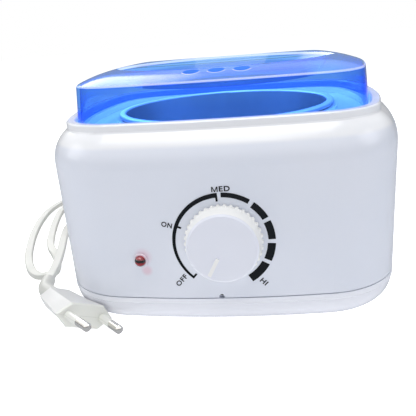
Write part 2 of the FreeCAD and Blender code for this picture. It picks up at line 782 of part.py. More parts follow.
def make_knob():
    """Scalloped knob with a skirt and a raised pointer; hollow behind for the nut."""
    import Sketcher
    knob = revolved("knob", [
        ("0", "dims.knob_face"),
        ("dims.knob_top_radius - 0.9", "dims.knob_face"),
        ("dims.knob_top_radius", "dims.knob_face - 0.8"),
        ("dims.knob_skirt_radius - 0.7", "dims.knob_back + 2.2"),
        ("dims.knob_skirt_radius", "dims.knob_back + 1.8"),
        ("dims.knob_skirt_radius", "dims.knob_back"),
        ("10.5", "dims.knob_back"),
        ("10.5", "4.4"),
        ("dims.shaft_radius + 0.04", "4.4"),
        ("dims.shaft_radius + 0.04", "8.5"),
        ("0", "8.5"),
    ])
    doc.recompute()
    plain = knob.Shape.Volume
    flute = new_sketch(knob, "XY_Plane", "flute")
    flute.AttachmentOffset = Placement(Vector(0, 0, d.knob_back + 1.8), Rotation())
    reach = d.knob_skirt_radius + 0.25
    flute.addGeometry(Part.Circle(Vector(0, reach, 0), UP, 1.0), False)
    flute.addConstraint(Sketcher.Constraint("PointOnObject", 0, 3, -2))
    place = flute.addConstraint(Sketcher.Constraint("DistanceY", -1, 1, 0, 3, reach))
    flute.addConstraint(Sketcher.Constraint("Radius", 0, 1.0))
    flute.setExpression("Constraints[%d]" % place, "dims.knob_skirt_radius + 0.25")
    pocket = knob.newObject("PartDesign::Pocket", "flute_cut")
    pocket.Profile = flute
    pocket.Type = 1
    pocket.Midplane = True
    knob.Tip = pocket
    doc.recompute()
    pattern = knob.newObject("PartDesign::PolarPattern", "flutes")
    pattern.Originals = [pocket]
    pattern.Axis = (flute, ["N_Axis"])
    pattern.Angle = 360
    pattern.setExpression("Occurrences", "dims.knob_flutes")
    knob.Tip = pattern
    doc.recompute()
    if not knob.Shape.Volume < plain:
        raise RuntimeError("the flutes cut nothing")
    pointer = new_sketch(knob, "XY_Plane", "pointer")
    turn = Rotation(UP, -d.knob_pointer_angle)
    pointer.AttachmentOffset = Placement(Vector(0, 0, d.knob_face - 0.2), turn)
    closed_rectangle(pointer, -0.8, 0.8, -13.4, -4.6)
    bar = knob.newObject("PartDesign::Pad", "pointer_bar")
    bar.Profile = pointer
    bar.Length = 0.9
    knob.Tip = bar
    knob.Placement = dial_frame


def closed_rectangle(sketch, left, right, low, high):
    """Four lines between two x and two y values."""
    import Sketcher
    corners = [Vector(left, low, 0), Vector(right, low, 0), Vector(right, high, 0), Vector(left, high, 0)]
    for index in range(4):
        sketch.addGeometry(Part.LineSegment(corners[index], corners[(index + 1) % 4]), False)
    for index in range(4):
        sketch.addConstraint(Sketcher.Constraint("Coincident", index, 2, (index + 1) % 4, 1))


# ---------------------------------------------------------------- pilot lamp

def make_lamp():
    """Red lens in a thin bezel, with the neon lamp's holder behind the wall."""
    lens = revolve_profile([
        (0.0, -6.0), (d.lens_radius, -6.0), (d.lens_radius, 1.0), dome(d.lens_radius, 1.0, 3.3),
    ])
    add_shape("lamp_lens", lens, lamp_frame)
    bezel = revolved("lamp_bezel", [
        ("dims.lens_radius + 0.05", "0 - 4.4"),
        ("dims.lens_radius + 0.55", "0 - 4.4"),
        ("dims.lens_radius + 0.55", "0.1"),
        ("dims.lens_radius + 1", "0.1"),
        ("dims.lens_radius + 1", "0.6"),
        ("dims.lens_radius + 0.7", "0.9"),
        ("dims.lens_radius + 0.05", "0.9"),
    ])
    bezel.Placement = lamp_frame
    holder = revolved("lamp_body", [
        ("0", "0 - 6.05"),
        ("dims.lens_radius + 0.6", "0 - 6.05"),
        ("dims.lens_radius + 0.6", "0 - 11"),
        ("dims.lens_radius - 0.4", "0 - 12.2"),
        ("0", "0 - 12.2"),
    ])
    holder.Placement = lamp_frame


# ---------------------------------------------------------------- lid

def grip_wire(length, width, z):
    """Pointed oval of two arcs, with half length along X and half width along Y."""
    left, right = Vector(-length, 0, z), Vector(length, 0, z)
    front = Part.Arc(left, Vector(0, -width, z), right).toShape()
    back = Part.Arc(right, Vector(0, width, z), left).toShape()
    return Part.Wire([front, back])


def grip_solid(extra):
    """Dish of the grip, grown outwards by an extra thickness."""
    top_z = d.lid_top_z + 2.0
    rise = top_z - d.grip_floor_z
    grow = d.grip_slope / (d.lid_top_z - d.grip_floor_z) * 2.0
    top = grip_wire(d.grip_half_length + grow + extra, d.grip_half_width + grow + extra, top_z)
    low = grip_wire(d.grip_half_length - d.grip_slope + extra,
                    d.grip_half_width - d.grip_slope + extra, top_z - rise - extra)
    return Part.makeLoft([top, low], True, True)


def make_lid():
    """See-through cover: upright skirt, low crown, dished grip and three vents."""
    low, edge, top = d.lid_foot_z, d.lid_edge_z, d.lid_top_z
    wall = d.lid_wall
    skirt, brow, flat = d.lid_inset_low, d.lid_inset_high, d.lid_flat_inset
    middle = (brow + flat) / 2
    outer = plan.ring([
        (skirt + 0.9, low),
        ((skirt + 0.25, low + 0.8), (skirt, low + 2.2)),
        (brow - 0.25, edge - 1.2),
        ((brow + 0.05, edge - 0.35), (brow + 0.9, edge + 0.1)),
        ((middle, (edge + top) / 2 + 0.7), (flat, top)),
        (flat, low),
    ]).fuse(plan.prism(flat - 0.4, low, top))
    inner = plan.ring([
        (skirt + wall, low - 1.0),
        (skirt + wall, low + 2.6),
        (brow + wall - 0.25, edge - 1.6),
        ((middle + 0.3, (edge + top) / 2 + 0.7 - wall), (flat, top - wall)),
        (flat, low - 1.0),
    ]).fuse(plan.prism(flat - 0.4, low - 1.0, top - wall))
    shell = outer.cut(grip_solid(0)).cut(inner.cut(grip_solid(wall * 0.9)))
    vents = []
    for step in (-1, 0, 1):
        place = Vector(d.vent_x + step * d.vent_pitch, d.vent_y, edge - 4)
        vents.append(cylinder(d.vent_radius, 12, place))
    add_shape("lid", shell.cut(vents).removeSplitter(), centre_frame)


# ---------------------------------------------------------------- cord, gland, plug

# Middle line of the free cord: it leaves the gland at the back, comes down to the table, runs
# behind the housing to the left and forward to a tight fold beside the plug, goes back to a long
# loop behind the housing, and comes forward again over the fold to the plug's relief.
CORD_ROUTE = [
    (33.6, 127.9, 24.0),
    (20.0, 151.7, 15.5),
    (-4.0, 165.7, 6.5),
    (-34.0, 171.7, 2.9),
    (-66.0, 173.2, 2.6),
    (-98.0, 169.7, 2.6),
    (-126.0, 158.7, 2.6),
    (-147.0, 138.7, 2.6),
    (-155.2, 112.7, 2.6),
    (-151.8, 82.7, 2.6),
    (-144.8, 53.5, 2.6),
    (-137.2, 30.0, 2.6),
    (-130.6, 12.5, 2.6),
    (-124.0, -0.4, 2.6),
    (-118.8, -8.4, 2.6),
    (-113.6, -13.2, 2.6),
    (-109.8, -13.7, 2.6),
    (-106.4, -11.7, 2.6),
    (-104.9, -8.1, 2.6),
    (-106.0, -3.2, 2.6),
    (-108.0, 3.4, 2.6),
    (-111.1, 11.0, 2.6),
    (-115.4, 18.6, 2.6),
    (-120.7, 26.4, 2.6),
    (-125.3, 35.5, 2.6),
    (-129.2, 47.0, 2.6),
    (-133.2, 60.0, 2.6),
    (-137.6, 76.0, 2.6),
    (-141.4, 92.0, 2.6),
    (-144.0, 106.0, 2.6),
    (-142.0, 119.0, 2.6),
    (-133.0, 128.5, 2.6),
    (-118.0, 130.5, 2.6),
    (-96.0, 126.5, 2.6),
    (-66.0, 120.5, 2.6),
    (-38.0, 121.5, 2.6),
    (-10.0, 126.5, 2.6),
    (16.0, 135.5, 2.6),
    (40.0, 144.5, 2.6),
    (60.0, 145.0, 2.6),
    (76.0, 136.5, 2.6),
    (83.5, 121.0, 2.6),
    (80.5, 104.5, 2.6),
    (67.0, 94.5, 2.6),
    (46.0, 92.0, 2.6),
    (18.0, 94.5, 2.6),
    (-10.0, 94.0, 2.6),
    (-38.0, 91.5, 2.6),
    (-64.0, 92.5, 2.6),
    (-86.0, 97.0, 2.6),
    (-103.0, 98.5, 2.6),
    (-116.0, 93.5, 2.6),
    (-123.6, 83.0, 2.6),
    (-124.6, 70.5, 2.6),
    (-121.6, 58.0, 4.6),
    (-117.6, 45.8, 6.8),
    (-114.0, 33.5, 8.1),
    (-110.4, 21.0, 8.3),
    (-106.8, 8.5, 8.3),
    (-103.6, -4.5, 8.3),
    (-100.8, -18.0, 8.2),
]
CORD_END = Vector(-98.848, -30.957, 7.769)


def along(frame, distance):
    """Point on a frame's local Z axis, seen in the row frame."""
    return frame.multVec(Vector(0, 0, distance))


def cord_points():
    """Whole route, from the gland's end face to the plug relief's end face."""
    return [along(gland_frame, d.gland_length)] + [Vector(*p) for p in CORD_ROUTE] + [CORD_END]


def tube(points, radius, end_radius=None):
    """Tube along straight runs joined by tangent arcs; returns it with its length and radii."""
    edges, radii = [], []
    last = points[0]
    for before, here, after in zip(points, points[1:], points[2:]):
        back, forward = (before - here), (after - here)
        run = min(back.Length, forward.Length)
        back.normalize()
        forward.normalize()
        turn = math.pi - back.getAngle(forward)
        trim = 0.45 * run
        radii.append(trim / math.tan(turn / 2))
        enter, leave = here + back * trim, here + forward * trim
        bisector = (back + forward).normalize()
        centre_reach = radii[-1] / math.cos(turn / 2)
        middle = here + bisector * (centre_reach - radii[-1])
        edges.append(Part.LineSegment(last, enter).toShape())
        edges.append(Part.Arc(enter, middle, leave).toShape())
        last = leave
    edges.append(Part.LineSegment(last, points[-1]).toShape())
    path = Part.Wire(edges)
    sections = [Part.Wire([Part.Circle(points[0], points[1] - points[0], radius).toShape()])]
    if end_radius is not None:
        leaving = points[-1] - points[-2]
        sections.append(Part.Wire([Part.Circle(points[-1], leaving, end_radius).toShape()]))
    solid = path.makePipeShell(sections, True, False)
    return solid, path.Length, radii


def make_cord():
    """The free mains cord as one plain tube."""
    radius = d.cord_diameter / 2
    points = cord_points()
    solid, length, radii = tube(points, radius)
    expected = math.pi * radius ** 2 * length
    print("cord length %.1f mm, volume %.1f of %.1f mm3" % (length, solid.Volume, expected))
    print("cord radii:", " ".join("%.0f" % r for r in radii))
    print("cord start", points[0], "end", points[-1])
    if abs(solid.Volume / expected - 1) > 0.01:
        raise RuntimeError("the cord's tube has the wrong volume")
    add_shape("mains_cord", solid)


def make_gland():
    """Tapered strain relief through the back wall, and the cord's end inside."""
    gland = revolve_profile([
        (0.0, -7.0), (3.4, -7.0), (3.4, -4.2), (6.4, -4.2), (6.4, -2.6), (4.3, -2.6), (4.3, 0.1),
        (6.4, 0.1), (6.4, 1.6), (5.2, 2.0), (3.2, d.gland_length), (0.0, d.gland_length),
    ])
    grooves = []
    for step in range(5):
        z = 6.0 + 3.6 * step
        ring = cylinder(8, 1.2, Vector(0, 0, z)).cut(cylinder(3.1, 3, Vector(0, 0, z - 1)))
        slot = Part.makeBox(16, 3.2, 1.2, Vector(-8, -1.6, z))
        grooves.append(ring.cut(slot))
    add_shape("strain_relief", gland.cut(grooves), gland_frame)
    tail = primitive("Cylinder", "cord_tail", {
        "Radius": "dims.cord_diameter / 2",
        "Height": "dims.tail_length",
    })
    tail.Placement = gland_frame.multiply(Placement(UP * (-7.02 - d.tail_length), Rotation()))
    parts["cord_tail"] = tail


def make_cord_clamp():
    """Bar and two screws that hold the cord's tail to a saddle on the pan."""
    radius = d.cord_diameter / 2
    middle = along(gland_frame, -d.clamp_reach)
    pan_floor = d.pan_floor_z + d.pan_wall
    saddle_height = middle.z - radius - 0.02 - pan_floor
    bar_z = middle.z + radius + 0.02
    saddle_seat = Placement(Vector(middle.x, middle.y, pan_floor), Rotation())
    bar_seat = Placement(Vector(middle.x, middle.y, bar_z), Rotation())
    corner = Vector(-10, -2.5, 0)
    saddle = primitive("Box", "saddle_block", {
        "Length": "20", "Width": "5", "Height": "%.2f" % saddle_height}, corner)
    bar = primitive("Box", "clamp_bar", {"Length": "20", "Width": "5", "Height": "2"}, corner)

    def holes(name, low):
        return [primitive("Cylinder", name + str(index), {"Radius": "1.3", "Height": "40"},
                          Vector(x, 0, low)) for index, x in enumerate((-7, 7))]

    cut_node("cord_saddle", saddle, holes("saddle_hole", 2), saddle_seat)
    cut_node("cord_clamp", bar, holes("clamp_hole", -2), bar_seat)
    screw = revolve_profile([
        (0.0, pan_floor + 6), (1.25, pan_floor + 6), (1.25, bar_z + 2.0), (2.6, bar_z + 2.0),
        (2.6, bar_z + 3.2), (1.8, bar_z + 3.8), (0.0, bar_z + 3.8),
    ])
    offset = Vector(middle.x, middle.y, 0)
    screws = around([offset + Vector(-7, 0, 0), offset + Vector(7, 0, 0)], screw)
    add_shape("clamp_screws", screws)


def hexagon_wire(width, height, flat, z):
    """Six-sided outline with flats above and below, at a local height."""
    corners = [(-width / 2, 0), (-flat / 2, -height / 2), (flat / 2, -height / 2),
               (width / 2, 0), (flat / 2, height / 2), (-flat / 2, height / 2)]
    points = [Vector(x, y, z) for x, y in corners]
    return Part.makePolygon(points + points[:1])


def make_plug():
    """Two-pin plug: six-sided body that narrows to the back, bent relief, insulated pins."""
    w, h, f = d.plug_width, d.plug_height, d.plug_flat
    outlines = [
        hexagon_wire(w - 1.4, h - 1.4, f - 0.6, 0.0),
        hexagon_wire(w, h, f, -0.8),
        hexagon_wire(w - 4.6, h - 1.2, f - 3.3, -d.plug_block),
        hexagon_wire(19.0, 9.6, 10.4, 2.5 - d.plug_length),
        hexagon_wire(14.0, 8.8, 8.0, -d.plug_length),
    ]
    blocks = [Part.makeLoft([front, back], True, True) for front, back in zip(outlines, outlines[1:])]
    body = blocks[0].fuse(blocks[1:])
    seats = []
    for side in (-1, 1):
        place = Vector(side * d.pin_spacing / 2, 0, 0)
        seats.append(Placement(place, Rotation(Vector(0, 1, 0), -side * d.pin_lean)))
    for seat in seats:
        bore = cylinder(1.6, 8.0, UP * -7.0)
        bore.Placement = seat.multiply(bore.Placement)
        body = body.cut(bore)
    add_shape("plug_body", body, plug_frame)
    bend = along(plug_frame, -d.plug_length - 14.0)
    relief, _, _ = tube([along(plug_frame, -d.plug_length), bend, CORD_END], 4.2, 3.5)
    add_shape("plug_relief", relief)
    sleeve = revolve_profile([
        (1.53, 0.12), (d.pin_radius, 0.12), (d.pin_radius, d.pin_sleeve),
        (1.53, d.pin_sleeve),
    ])
    pin = revolve_profile([
        (0.0, -6.5), (1.5, -6.5), (1.5, d.pin_sleeve + 0.02), (d.pin_radius, d.pin_sleeve + 0.02),
        (d.pin_radius, d.pin_length - 1.0), dome(d.pin_radius, d.pin_length - 1.0, d.pin_length),
    ])
    for label, piece in (("plug_sleeves", sleeve), ("plug_pins", pin)):
        pair = []
        for seat in seats:
            copy = piece.copy()
            copy.Placement = seat.multiply(copy.Placement)
            pair.append(copy)
        add_shape(label, Part.makeCompound(pair), plug_frame)


# ---------------------------------------------------------------- wiring inside

def wire_tube(points, radius=0.9):
    """Thin insulated wire along a hand-laid route, seen from the housing's axis."""
    solid, _, _ = tube([Vector(*p) for p in points], radius)
    return solid


def make_terminal_block(place):
    """Two-way block on the pan floor, with a screw above each bore."""
    seat = centre_frame.multiply(Placement(place, Rotation()))
    block = primitive("Box", "block", {"Length": "26", "Width": "14", "Height": "9"},
                      Vector(-13, -7, 0))
    tools = []
    for index, x in enumerate((-7, 7)):
        tools.append(primitive("Cylinder", "funnel%d" % index, {"Radius": "2", "Height": "4"},
                               Vector(x, 0, 6.5)))
        for side in (-1, 1):
            name = "bore%d%s" % (index, "a" if side < 0 else "b")
            tools.append(primitive("Cylinder", name, {"Radius": "1.5", "Height": "5.5"},
                                   Vector(x, side * 7, 3.6), Rotation(Vector(1, 0, 0), 90 * side)))
    cut_node("terminal_block", block, tools, seat)
    screw = cylinder(1.8, 1.6, Vector(0, 0, 6.7))
    add_shape("terminal_screws", around([Vector(-7, 0, 0), Vector(7, 0, 0)], screw), seat)


def make_wiring():
    """Terminal block and the insulated wires between block, switch, heater, fuse and lamp."""
    floor = d.pan_floor_z + d.pan_wall
    make_terminal_block(Vector(-12.0, 54.0, floor))
    level = floor + 3.6
    tab_y = -d.front_plane + 2.6 + d.thermostat_depth + 3.0
    tab_x = 9.4
    left_tab, right_tab = d.dial_x - tab_x, d.dial_x + tab_x
    element_z = plate_top() - d.plate_thickness
    fuse_z = plate_top() - 3.4
    cores = [
        wire_tube([(28.6, 53.2, 24.8), (27.0, 47.6, 20.5), (18.0, 46.5, 12.6),
                   (6.0, 43.0, level + 0.8), (-4.0, 42.0, level), (-5.0, 48.6, level)]),
        wire_tube([(25.8, 53.4, 23.4), (21.6, 49.0, 15.8), (8.0, 44.5, 13.2),
                   (-8.0, 41.0, 12.6), (-18.2, 41.0, level + 1.0), (-19.0, 48.6, level)]),
    ]
    add_shape("cord_cores", Part.makeCompound(cores), centre_frame)
    live = wire_tube([(-19.0, 59.4, level), (-19.6, 66.0, level + 0.8), (-34.0, 63.6, 9.4),
                      (-58.0, 34.0, 9.8), (-62.0, 0.0, 9.8), (-55.0, -36.0, 12.0),
                      (-34.0, -56.5, 20.0), (-14.0, -57.0, 34.0), (left_tab - 0.92, tab_y, 41.5)])
    add_shape("live_wire", live, centre_frame)
    switched = wire_tube([(right_tab + 0.92, tab_y, 41.0), (14.0, -56.5, 33.0),
                          (12.0, -54.0, 27.5), (8.2, -50.5, 25.4),
                          (d.element_lead_x, -46.02, element_z)])
    add_shape("switched_wire", switched, centre_frame)
    to_fuse = wire_tube([(-d.element_lead_x, -46.02, element_z), (-7.6, -51.0, 24.6),
                         (6.0, -54.5, 21.0), (27.0, -46.0, 22.5), (38.0, -28.0, 25.2),
                         (41.2, -9.52, fuse_z)])
    from_fuse = wire_tube([(41.2, 9.52, fuse_z), (42.5, 20.0, 25.8), (45.0, 36.0, 24.0),
                           (46.5, 52.0, 14.0), (41.0, 62.0, 9.8), (30.0, 65.2, 8.9),
                           (14.0, 65.6, 8.6), (-2.6, 66.4, 8.2), (-5.0, 59.4, level)])
    add_shape("return_wires", Part.makeCompound([to_fuse, from_fuse]), centre_frame)
    lamp_wires = [
        wire_tube([(-35.1, -60.6, 35.6), (-33.5, -56.5, 37.5), (-24.0, -55.5, 43.0),
                   (-13.0, -55.8, 45.4), (left_tab - 0.72, tab_y, 44.6)], 0.7),
        wire_tube([(-35.0, -60.6, 33.4), (-33.0, -55.2, 31.0), (-20.0, -54.0, 26.5),
                   (-13.5, -49.5, 25.6), (-d.element_lead_x - 2.32, -43.5, element_z)], 0.7),
    ]
    add_shape("lamp_wires", Part.makeCompound(lamp_wires), centre_frame)


# ---------------------------------------------------------------- build, check, write

def check_and_export():
    """Stops on any failed object or bad shape, then writes one STEP file per node."""
    doc.recompute()
    failed = [o.Label for o in doc.Objects if "Invalid" in o.State or "Error" in o.State]
    if failed:
        raise RuntimeError("failed objects: " + ", ".join(failed))
    for label, part in parts.items():
        shape = part.Shape
        if shape.isNull() or not shape.isValid() or shape.Volume <= 0:
            raise RuntimeError("bad shape: " + label)
    os.makedirs("parts", exist_ok=True)
    for label, part in parts.items():
        part.Shape.exportStep(os.path.join("parts", label + ".step"))
        box = part.Shape.BoundBox
        print("%-20s solids %2d volume %9.1f  x %.1f..%.1f  y %.1f..%.1f  z %.1f..%.1f" % (
            label, len(part.Shape.Solids), part.Shape.Volume,
            box.XMin, box.XMax, box.YMin, box.YMax, box.ZMin, box.ZMax))


make_upper_housing()
make_base_pan()
make_feet_and_screws()
make_wax_pot()
make_heating_bowl()
make_heater()
make_heat_shield()
make_insulation_sleeve()
make_thermal_fuse()
make_thermostat()
make_knob()
make_lamp()
make_lid()
make_gland()
make_cord()
make_cord_clamp()
make_plug()
make_wiring()
check_and_export()
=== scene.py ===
# %% [markdown]
# # A table-top wax heater with a dial, a see-through lid and a two-pin mains lead
#
# The solids come from the engineering model. This lesson loads them as a fixed frame, gives
# every part the finish of the real material, and adds the few things that are easier to make
# in Blender: the flat mains lead and the printing round the knob.

# %% Load the frame
import math

import bmesh
import bpy
from mathutils import Matrix, Vector
from mathutils.bvhtree import BVHTree


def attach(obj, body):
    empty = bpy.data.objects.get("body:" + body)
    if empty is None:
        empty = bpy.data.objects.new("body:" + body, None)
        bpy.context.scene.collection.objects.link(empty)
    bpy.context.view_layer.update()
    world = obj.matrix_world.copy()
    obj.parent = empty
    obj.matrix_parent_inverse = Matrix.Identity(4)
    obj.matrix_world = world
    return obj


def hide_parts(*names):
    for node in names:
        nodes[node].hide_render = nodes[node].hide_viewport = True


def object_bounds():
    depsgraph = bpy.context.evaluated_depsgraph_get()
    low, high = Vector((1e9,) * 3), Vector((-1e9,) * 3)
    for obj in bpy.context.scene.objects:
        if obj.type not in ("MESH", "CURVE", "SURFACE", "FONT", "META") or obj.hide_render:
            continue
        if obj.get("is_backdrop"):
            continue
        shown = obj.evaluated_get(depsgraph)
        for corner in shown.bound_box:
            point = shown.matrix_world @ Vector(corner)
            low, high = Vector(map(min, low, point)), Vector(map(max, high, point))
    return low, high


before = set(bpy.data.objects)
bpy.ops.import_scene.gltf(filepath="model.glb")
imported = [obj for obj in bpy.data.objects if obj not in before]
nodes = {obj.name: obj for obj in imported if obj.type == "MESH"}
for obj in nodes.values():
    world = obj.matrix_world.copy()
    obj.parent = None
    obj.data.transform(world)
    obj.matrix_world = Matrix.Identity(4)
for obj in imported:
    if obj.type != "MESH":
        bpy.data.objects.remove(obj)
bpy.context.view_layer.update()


def plain_box():
    """The whole object's box as plain lists, in metres."""
    return [[round(value, 5) for value in corner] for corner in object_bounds()]


scene = bpy.context.scene

# %% [markdown]
# ## The camera
#
# A product like this is looked at from a little above and slightly to the right. The camera
# stands about 31 cm away, so the near parts look larger than the far ones. A camera could be
# aimed with a constraint. Here its axes are worked out from three angles instead, because the
# third one, a small roll, tilts the picture as a hand-held camera does.

# %% Camera
SUBJECT = Vector((-0.01381, 0.0047, 0.0335))
DISTANCE = 0.31216
LENS_MM = 47.54
AZIMUTH, ELEVATION, ROLL = (math.radians(angle) for angle in (7.67, 18.4, -4.61))


def viewing_camera():
    """A camera on a sphere round the subject, turned to face it and rolled."""
    backward = Vector((
        math.sin(AZIMUTH) * math.cos(ELEVATION),
        -math.cos(AZIMUTH) * math.cos(ELEVATION),
        math.sin(ELEVATION),
    ))
    side = (-backward).cross(Vector((0, 0, 1))).normalized()
    top = side.cross(-backward)
    across = side * math.cos(ROLL) + top * math.sin(ROLL)
    upward = top * math.cos(ROLL) - side * math.sin(ROLL)
    placement = Matrix((across, upward, backward)).transposed().to_4x4()
    placement.translation = SUBJECT + backward * DISTANCE
    lens = bpy.data.cameras.new("viewing_camera")
    lens.lens = LENS_MM
    lens.clip_start = 0.01
    camera = bpy.data.objects.new("viewing_camera", lens)
    camera.matrix_world = placement
    scene.collection.objects.link(camera)
    return camera


scene.camera = viewing_camera()
print("camera at", [round(value, 3) for value in scene.camera.matrix_world.translation])

# %% [markdown]
# ## The mains lead
#
# The lead is a flat two-core flex. It leaves the gland behind the housing, comes down to the
# table, runs round to the left to a tight fold, goes back to a long loop behind the housing, and
# its last run crosses over the fold to the plug. It could be a mesh tube, but a NURBS line led
# by listed points bends as softly as real flex does, and a flat outline swept along it
# gives the cable its section. The outline is drawn in millimetres, and the radius of the line's
# points scales it to metres.

# %% The lead's route
# Millimetres, from the gland to the sleeve behind the plug.
GLAND_END = (31.859, 104.033, 24.0)
PLUG_RELIEF_END = (-98.848, -30.957, 7.769)
ROUTE = [
    (33.6, 127.9, 24.0), (20.0, 151.7, 15.5), (-4.0, 165.7, 6.5), (-34.0, 171.7, 2.9),
    (-66.0, 173.2, 2.6), (-98.0, 169.7, 2.6), (-126.0, 158.7, 2.6), (-147.0, 138.7, 2.6),
    (-155.2, 112.7, 2.6), (-151.8, 82.7, 2.6), (-144.8, 53.5, 2.6), (-137.2, 30.0, 2.6),
    (-130.6, 12.5, 2.6), (-124.0, -0.4, 2.6), (-118.8, -8.4, 2.6), (-113.6, -13.2, 2.6),
    (-109.8, -13.7, 2.6), (-106.4, -11.7, 2.6), (-104.9, -8.1, 2.6), (-106.0, -3.2, 2.6),
    (-108.0, 3.4, 2.6), (-111.1, 11.0, 2.6), (-115.4, 18.6, 2.6), (-120.7, 26.4, 2.6),
    (-125.3, 35.5, 2.6), (-129.2, 47.0, 2.6), (-133.2, 60.0, 2.6), (-137.6, 76.0, 2.6),
    (-141.4, 92.0, 2.6), (-144.0, 106.0, 2.6), (-142.0, 119.0, 2.6), (-133.0, 128.5, 2.6),
    (-118.0, 130.5, 2.6), (-96.0, 126.5, 2.6), (-66.0, 120.5, 2.6), (-38.0, 121.5, 2.6),
    (-10.0, 126.5, 2.6), (16.0, 135.5, 2.6), (40.0, 144.5, 2.6), (60.0, 145.0, 2.6),
    (76.0, 136.5, 2.6), (83.5, 121.0, 2.6), (80.5, 104.5, 2.6), (67.0, 94.5, 2.6),
    (46.0, 92.0, 2.6), (18.0, 94.5, 2.6), (-10.0, 94.0, 2.6), (-38.0, 91.5, 2.6),
    (-64.0, 92.5, 2.6), (-86.0, 97.0, 2.6), (-103.0, 98.5, 2.6), (-116.0, 93.5, 2.6),
    (-123.6, 83.0, 2.6), (-124.6, 70.5, 2.6), (-121.6, 58.0, 4.6), (-117.6, 45.8, 6.8),
    (-114.0, 33.5, 8.1), (-110.4, 21.0, 8.3), (-106.8, 8.5, 8.3), (-103.6, -4.5, 8.3),
    (-100.8, -18.0, 8.2),
]
LEAD_WIDTH, LEAD_THICKNESS = 0.0048, 0.0034
MILLIMETRE = 0.001
# A flat lead lies lower than a round one of the same width.
SETTLE = 0.0007


def lead_points():
    """Control points in metres, settled on to the table between the two fixed ends."""
    inner = [(x / 1000, y / 1000, z / 1000 - SETTLE) for x, y, z in ROUTE]
    first, last = (tuple(v / 1000 for v in end) for end in (GLAND_END, PLUG_RELIEF_END))
    return [first] + inner + [last]


print("lead points:", len(lead_points()))

# %% The lead's section and sweep
def flat_outline():
    """Rounded flat outline of the lead in millimetres, a closed curve swept along the route."""
    curve = bpy.data.curves.new("lead_outline", "CURVE")
    curve.dimensions = "2D"
    spline = curve.splines.new("NURBS")
    half_w, half_t = LEAD_WIDTH / 2 / MILLIMETRE, LEAD_THICKNESS / 2 / MILLIMETRE
    corners = [(1, 0), (1, 1), (0.45, 1), (-0.45, 1), (-1, 1), (-1, 0), (-1, -1), (1, -1)]
    spline.points.add(len(corners) - 1)
    for point, (x, y) in zip(spline.points, corners):
        point.co = (x * half_w, y * half_t, 0, 1)
    spline.use_cyclic_u = True
    spline.order_u = 3
    spline.resolution_u = 4
    return bpy.data.objects.new("lead_outline", curve)


def sweep_lead(outline):
    """The flat outline carried along the route."""
    curve = bpy.data.curves.new("mains_lead", "CURVE")
    curve.dimensions = "3D"
    curve.twist_mode = "Z_UP"
    curve.resolution_u = 10
    spline = curve.splines.new("NURBS")
    points = lead_points()
    spline.points.add(len(points) - 1)
    for point, place in zip(spline.points, points):
        point.co = (*place, 1)
        point.radius = MILLIMETRE
    spline.order_u = 3
    spline.use_endpoint_u = True
    curve.bevel_mode = "OBJECT"
    curve.bevel_object = outline
    curve.use_fill_caps = True
    lead = bpy.data.objects.new("mains_lead", curve)
    scene.collection.objects.link(lead)
    return lead


lead = sweep_lead(flat_outline())
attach(lead, "heater")
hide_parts("mains_cord")
print("lead swept over", len(lead.data.splines[0].points), "points")

# %% [markdown]
# ## Helpers for node trees
#
# Every finish here is a tree of shader nodes. Nodes can be added and linked one by one in the
# editor or in code. A few small functions that add a node, fill its inputs and hand back its
# result keep each material readable as a list of steps.

# %% Node helpers
def add_node(tree, kind, inputs=None, **settings):
    """Adds a node, sets its properties, and fills or links its inputs by name or number."""
    node = tree.nodes.new(kind)
    for key, value in settings.items():
        setattr(node, key, value)
    for key, value in (inputs or {}).items():
        if isinstance(value, bpy.types.NodeSocket):
            tree.links.new(value, node.inputs[key])
        else:
            node.inputs[key].default_value = value
    return node


def maths(tree, operation, first, second=0.0):
    """A Math node's result."""
    node = add_node(tree, "ShaderNodeMath", {0: first, 1: second}, operation=operation)
    return node.outputs[0]


def vector_maths(tree, operation, first, second, result="Value"):
    """A Vector Math node's result."""
    node = add_node(tree, "ShaderNodeVectorMath", {0: first, 1: second}, operation=operation)
    return node.outputs[result]


def mixed_colour(tree, factor, first, second):
    """Mix of two colours."""
    node = add_node(tree, "ShaderNodeMix", {0: factor, 6: first, 7: second}, data_type="RGBA")
    return node.outputs[2]


def step(tree, value, low, high, least=0.0, most=1.0):
    """The least value below low, the most above high, with a soft step between."""
    node = add_node(tree, "ShaderNodeMapRange", {
        "Value": value, "From Min": low, "From Max": high, "To Min": least, "To Max": most},
        interpolation_type="SMOOTHSTEP")
    return node.outputs[0]


def fade(tree, value, low, high):
    """1 below low, 0 above high, with a soft step between."""
    return maths(tree, "SUBTRACT", 1.0, step(tree, value, low, high))


def mixed_shader(tree, factor, first, second):
    """A mix of two shader nodes."""
    return add_node(tree, "ShaderNodeMixShader", {
        0: factor, 1: first.outputs[0], 2: second.outputs[0]})


def emptied(holder):
    """The node tree of a new material or world, with nothing in it."""
    holder.use_nodes = True
    holder.node_tree.nodes.clear()
    return holder.node_tree


print("node helpers ready")

# %% [markdown]
# ## The room
#
# A sheet of white paper lies under the object in a white room. Lamps alone could light it, but
# a world that answers each kind of ray in its own way gives more control. Rays from the eye and
# through the lid see plain white. Gloss sees a ceiling and two soft boxes, which draw the
# highlights on the lid and the shoulders. The light that the room itself throws on the object is
# weaker, so white plastic keeps its shading.

# %% White room
SOFT_COLOUR, SOFT_LIGHT = (0.87, 0.92, 1.0, 1), 0.32
# Direction, cosines at which the patch starts and is full, least and most strength.
CEILING = ((0, 0, 1), 0.05, 0.55, 0.28, 1.5)
TOP_BOX = ((-0.05, 0.05, 1), 0.93, 0.98, 0.0, 1.2)
BACK_BOX = ((-0.42, 0.72, 0.56), 0.945, 0.985, 0.0, 5.5)


